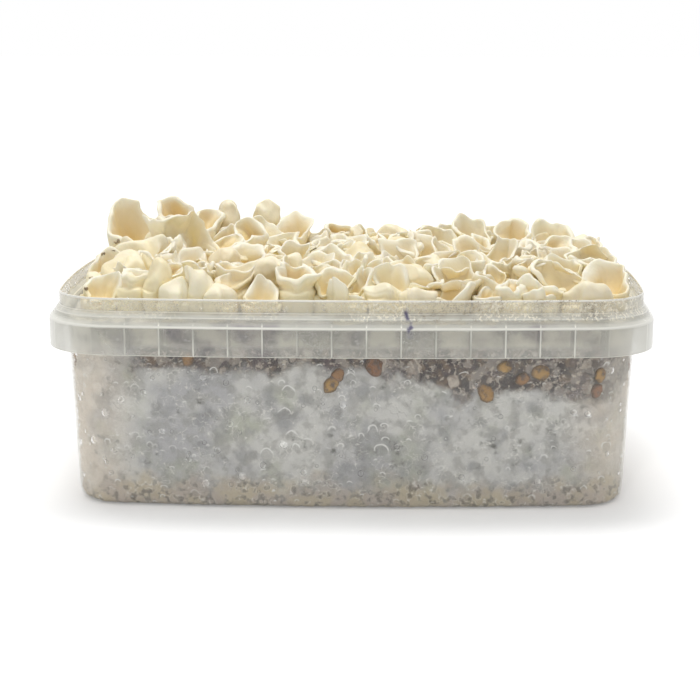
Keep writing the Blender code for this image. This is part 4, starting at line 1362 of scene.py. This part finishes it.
def grain_material(grain):
    """Grown grain: pale mycelium clouds, a dark damp band below the rim with brown, violet and pale lumps, a
    stained pale part behind the rim whose near-white colour is partly its own and partly painted light making
    up for the skirt's shade, beige granules low down, and fine curling lines of painted highlight and painted
    shade all over."""
    made, nodes, shader = new_material("grown grain", 0.62)
    x, _, height = nodes.split()
    aside = nodes.vector("ADD", nodes.place, (0.4, 0.2, 0.7))
    lift = nodes.ramp(x, -2.0 * MM, 30.0 * MM, 0.0, 7.0 * MM)
    raised = nodes.vector("ADD", nodes.place, nodes.make("CombineXYZ", {"Z": lift}).outputs[0])
    end = nodes.ramp(nodes.unsigned(x), 60.0 * MM, 84.0 * MM)
    clear = nodes.rest(nodes.times(end, 0.6))
    band = nodes.shared("Level band", raised, Bottom=42.8 * MM, Top=80.0 * MM, Softness=2.2 * MM,
                        Wander=17.0 * MM, Wander_Scale=95.0)[0]
    dark = nodes.times(
        band,
        nodes.ramp(height, 48.5 * MM, 51.0 * MM, 1.0, 0.0),
        nodes.rest(nodes.times(end, 0.5)),
        nodes.ramp(x, -68.0 * MM, -58.0 * MM, 0.12, 1.0),
    )
    gaps = nodes.blotches(420.0, 8.0, 0.40, 0.62)
    plum = nodes.blotches(130.0, 4.0, 0.46, 0.60, aside)
    damp = nodes.mix(gaps, grain.bare, linear(116, 92, 72))
    damp = nodes.mix(nodes.times(plum, 0.6), damp, linear(84, 62, 72))
    grains = nodes.shared("Round spots", Scale=230.0, Radius=0.42, Width=0.14, Share=0.5, Warp=1.6 * MM)[0]
    # above the dark band the growth is laid near white: partly its own pale colour, partly painted light that
    # makes up for the shade behind the skirt
    upper = nodes.ramp(height, 49.0 * MM, 51.0 * MM)
    stain = nodes.blotches(105.0, 6.0, 0.44, 0.64)
    # fine curling lines of painted highlight, and thinner ones of painted shade
    thread_highlights = nodes.threads(520.0, 0.026, 0.48, 0.56)
    thread_shade = nodes.threads(260.0, 0.016, 0.52, 0.60, raised)
    colour = nodes.lay(
        low_granules(nodes, mycelium(nodes, grain, end, clear, aside)),
        (nodes.times(dark, 0.95), damp),
        (nodes.times(nodes.blotches(190.0, 4.0, 0.49, 0.60, aside), dark, 0.85), linear(44, 28, 36)),
        (nodes.times(nodes.blotches(170.0, 4.0, 0.53, 0.59), dark, 0.5), linear(196, 188, 178)),
        (nodes.times(nodes.blotches(760.0, 7.0, 0.55, 0.62), dark, 0.6), linear(228, 216, 200)),
        (nodes.times(grains, dark, 0.75), nodes.mix(gaps, linear(176, 160, 146), linear(218, 208, 196))),
        # near white behind the skirt: partly painted light
        (nodes.times(upper, 0.85), linear(255, 246, 224)),
        (nodes.times(upper, stain, 0.8), nodes.mix(plum, linear(70, 64, 54), linear(56, 42, 74))),
        # painted highlight lines
        (nodes.times(thread_highlights, nodes.rest(nodes.times(dark, 0.45), 0.75), clear), linear(252, 250, 244)),
        # painted shade lines
        (nodes.times(thread_shade, 0.35, clear), linear(96, 94, 90)),
    )
    crumbly = nodes.bump(nodes.blotches(700.0, 4.0, 0.2, 0.8), 0.25 * MM)
    nodes.feed(shader, Base_Color=wall_spots(nodes, colour), Normal=crumbly)
    return made


def kernel_material(grain):
    """Bare kernels: ochre to chestnut, mottled, darker round their rims, slightly glossy with damp."""
    made, nodes, shader = new_material("kernel", 0.35)
    brown = nodes.mix(nodes.mark("kind"), grain.ochre, linear(128, 58, 22))
    mottle = nodes.blotches(520.0, 5.0, 0.42, 0.72)
    rim = nodes.ramp(nodes.mark("side"), 0.55, 0.98, 0.0, 0.8)
    nodes.feed(shader, Base_Color=nodes.mix(nodes.most(mottle, rim), brown, linear(84, 56, 36)))
    return made


def crumb_material():
    """Crumbs of grain and bark: grey-brown, unevenly dark."""
    made, nodes, shader = new_material("crumb", 0.7)
    mottle = nodes.blotches(900.0, 3.0, 0.40, 0.60)
    nodes.feed(shader, Base_Color=nodes.mix(mottle, linear(142, 124, 100), linear(196, 178, 148)))
    return made


def water_material():
    """Clear water."""
    return new_material("water", 0.02, Base_Color=WHITE, IOR=1.33, Transmission_Weight=1.0)[0]


def flesh_material(cap):
    """Mushroom flesh: cream, with a painted highlight on the lips and upper outer walls, a tan in the hollows
    that is partly the flesh's own yellower colour and partly painted shade, and faint patches and pores.
    """
    made, nodes, shader = new_material(
        "mushroom flesh", 0.5, Subsurface_Weight=0.2, Subsurface_Radius=(1.0, 0.85, 0.5),
        Subsurface_Scale=1.6 * MM)
    patches = nodes.blotches(38.0, 3.0, 0.35, 0.70)
    flesh = nodes.lay(
        nodes.mix(patches, cap.cream, linear(234, 216, 172)),
        # painted highlight on the lips and upper outer walls
        (nodes.times(nodes.mark("edge"), 0.7), cap.pale),
        # tan in the hollows: partly the flesh's own colour, partly painted shade
        (nodes.times(nodes.maths("POWER", nodes.mark("hollow"), 1.2), 0.9), cap.hollow),
    )
    pores = nodes.bump(nodes.blotches(700.0, 4.0, 0.2, 0.8), 0.08 * MM)
    nodes.feed(shader, Base_Color=flesh, Normal=pores)
    return made


def floor_material():
    """White floor: it takes the shadow, and shows to the camera as paper white, more so far off."""
    made, nodes, shader = new_material(
        "white floor", 0.9, Base_Color=(0.92, 0.92, 0.92, 1.0), Specular_IOR_Level=0.0, Emission_Color=WHITE)
    far_off = nodes.make("VectorMath", {0: nodes.place}, operation="LENGTH").outputs["Value"]
    glow = nodes.make("MapRange", {
        "Value": far_off, "From Min": 0.35, "From Max": 1.2, "To Min": 0.24, "To Max": 0.60})
    nodes.feed(shader, Emission_Strength=nodes.times(nodes.looked_at(), glow.outputs["Result"]))
    return made


class KIT_OT_tub(bpy.types.Operator):
    """Build the tub's moulding with the fins behind its skirt"""

    bl_idname = "grow_kit.tub"
    bl_label = "Tub"

    def execute(self, context):
        tub = context.scene.grow_kit_tub
        shape = join([tub_shell(tub)] + fin_shapes(tub))
        put_piece("tub_shell", shape, plastic_material(tub), "tub", "tub")
        return {"FINISHED"}


class KIT_OT_grain(bpy.types.Operator):
    """Build the grown grain that fills the tub"""

    bl_idname = "grow_kit.grain"
    bl_label = "Grain"

    def execute(self, context):
        scene = context.scene
        shape = grain_cake(scene.grow_kit_tub, scene.grow_kit_grain)
        put_piece("grain_cake", shape, grain_material(scene.grow_kit_grain), "substrate", "substrate")
        return {"FINISHED"}


class KIT_OT_kernels(bpy.types.Operator):
    """Build the bare kernels that show through the wall"""

    bl_idname = "grow_kit.kernels"
    bl_label = "Kernels"

    def execute(self, context):
        scene = context.scene
        shape = kernel_shape(scene.grow_kit_tub, scene.grow_kit_grain)
        put_piece("kernels", shape, kernel_material(scene.grow_kit_grain), "substrate")
        return {"FINISHED"}


class KIT_OT_drops(bpy.types.Operator):
    """Build the water drops on the inside of the wall"""

    bl_idname = "grow_kit.drops"
    bl_label = "Drops"

    def execute(self, context):
        scene = context.scene
        shape = drop_shape(scene.grow_kit_tub, scene.grow_kit_grain)
        put_piece("water_drops", shape, water_material(), "substrate")
        return {"FINISHED"}


class KIT_OT_caps(bpy.types.Operator):
    """Build the fruit bodies, each from the petals that grow nearest to it"""

    bl_idname = "grow_kit.caps"
    bl_label = "Fruit bodies"

    def execute(self, context):
        tub, cap = context.scene.grow_kit_tub, context.scene.grow_kit_caps
        rows = PETALS + filling_petals(cap, tub)
        centres = np.array([row[:2] for row in rows]) * MM
        border = outline(tub, tub.neck_inset + tub.wall + 0.25 * MM, 30) * (cap.bed_length, 1.0)
        beside = 1.0 - smooth_step(3.0 * MM, 13.0 * MM, gap_to(border, centres))
        bed = dict(
            centres=centres,
            girths=np.array([(row[3] + row[4]) / 2.0 for row in rows]) * MM,
            levels=low_levels(rows, centres, beside),
            beside=beside,
            border=border,
            squeeze=cap.squeeze,
        )
        nodes = sorted(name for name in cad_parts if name.startswith("fruit_"))
        owners = self.share_out(centres, nodes)
        flesh = flesh_material(cap)
        for number, name in enumerate(nodes):
            mine = np.flatnonzero(owners == number)
            if not len(mine):
                raise RuntimeError(f"no petal grows on {name}")
            shapes = [petal(i, rows[i], bed, PETAL_SEED + int(i)) for i in mine]
            put_piece(f"{name}_petals", join(shapes), flesh, "mushroom", name)
        put_piece("crumbs", crumb_shape(), crumb_material(), "mushroom")
        return {"FINISHED"}

    def share_out(self, centres, nodes):
        """The number of the fruit body nearest to each petal. One left with none takes the nearest
        petal of a body that has more than one."""
        middles = np.array([(np.array(low) + np.array(high))[:2] / 2.0 for low, high in map(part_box, nodes)])
        spans = np.hypot(*(centres[:, None] - middles[None]).transpose(2, 0, 1))
        owners = spans.argmin(axis=1)
        for number in np.flatnonzero(np.bincount(owners, minlength=len(nodes)) == 0):
            spare = np.bincount(owners, minlength=len(nodes))[owners] > 1
            owners[np.where(spare, spans[:, number], np.inf).argmin()] = number
        return owners


class KIT_OT_stage(bpy.types.Operator):
    """Set the white floor, the soft light and the photograph's camera"""

    bl_idname = "grow_kit.stage"
    bl_label = "Stage"

    def execute(self, context):
        scene = context.scene
        mesh = bpy.data.meshes.new("floor")
        corners = [(x * FLOOR_REACH, y * FLOOR_REACH, 0) for x, y in ((-1, -1), (1, -1), (1, 1), (-1, 1))]
        mesh.from_pydata(corners, [], [(0, 1, 2, 3)])
        mesh.materials.append(floor_material())
        floor = bpy.data.objects.new("floor", mesh)
        scene.collection.objects.link(floor)
        self.light(scene)
        self.camera(scene)
        scene.view_settings.view_transform = "Standard"
        return {"FINISHED"}

    def light(self, scene):
        world = bpy.data.worlds.new("white sky")
        world.use_nodes = True
        sky = world.node_tree.nodes["Background"]
        sky.inputs["Color"].default_value = WHITE
        nodes = Nodes(world.node_tree)
        strength = nodes.make("MapRange", {"Value": nodes.looked_at(), "To Min": 0.50, "To Max": 1.0})
        nodes.feed(sky, Strength=strength.outputs["Result"])
        scene.world = world
        for name, place, spans, energy in LAMPS:
            lamp = bpy.data.lights.new(name, "AREA")
            lamp.shape = "RECTANGLE"
            lamp.size, lamp.size_y = spans
            lamp.energy = energy
            holder = bpy.data.objects.new(name, lamp)
            holder.location = place
            aim = Vector((0.0, 0.0, 0.04)) - holder.location
            holder.rotation_euler = aim.to_track_quat("-Z", "Y").to_euler()
            scene.collection.objects.link(holder)

    def camera(self, scene):
        """The photograph's camera: place, aim and lens."""
        lens = bpy.data.cameras.new("camera")
        lens.lens = CAMERA_LENS
        lens.sensor_width = 36.0
        down, right = math.radians(CAMERA_DOWN), math.radians(CAMERA_RIGHT)
        ahead = Vector((math.sin(right) * math.cos(down), math.cos(right) * math.cos(down), -math.sin(down)))
        aside = Vector((math.cos(right), -math.sin(right), 0.0))
        axes = Matrix((aside, aside.cross(ahead), -ahead)).transposed().to_4x4()
        roll = Matrix.Rotation(math.radians(CAMERA_ROLL), 4, "Z")
        holder = bpy.data.objects.new("camera", lens)
        holder.matrix_world = Matrix.Translation(CAMERA_PLACE) @ axes @ roll
        scene.collection.objects.link(holder)
        scene.camera = holder


class KIT_PT_panel(bpy.types.Panel):
    bl_idname = "KIT_PT_panel"
    bl_label = "Mushroom grow kit"
    bl_space_type = "VIEW_3D"
    bl_region_type = "UI"
    bl_category = "Grow kit"

    def draw(self, context):
        for name, _ in SETTINGS:
            settings = getattr(context.scene, name)
            for label in settings.bl_rna.properties.keys():
                if label not in ("rna_type", "name"):
                    self.layout.prop(settings, label)
        for operator in OPERATORS:
            self.layout.operator(operator.bl_idname)


SETTINGS = [("grow_kit_tub", TubSettings), ("grow_kit_grain", GrainSettings), ("grow_kit_caps", CapSettings)]
OPERATORS = [KIT_OT_tub, KIT_OT_grain, KIT_OT_kernels, KIT_OT_drops, KIT_OT_caps, KIT_OT_stage]


def register():
    for name, kind in SETTINGS:
        bpy.utils.register_class(kind)
        setattr(bpy.types.Scene, name, PointerProperty(type=kind))
    for kind in OPERATORS + [KIT_PT_panel]:
        bpy.utils.register_class(kind)


def unregister():
    for kind in reversed(OPERATORS + [KIT_PT_panel]):
        bpy.utils.unregister_class(kind)
    for name, kind in reversed(SETTINGS):
        delattr(bpy.types.Scene, name)
        bpy.utils.unregister_class(kind)


def main():
    register()
    blotch_group()
    thread_group()
    band_group()
    spot_group()
    bpy.ops.grow_kit.tub()
    bpy.ops.grow_kit.grain()
    bpy.ops.grow_kit.kernels()
    bpy.ops.grow_kit.drops()
    bpy.ops.grow_kit.caps()
    bpy.ops.grow_kit.stage()


if __name__ == "__main__":
    main()
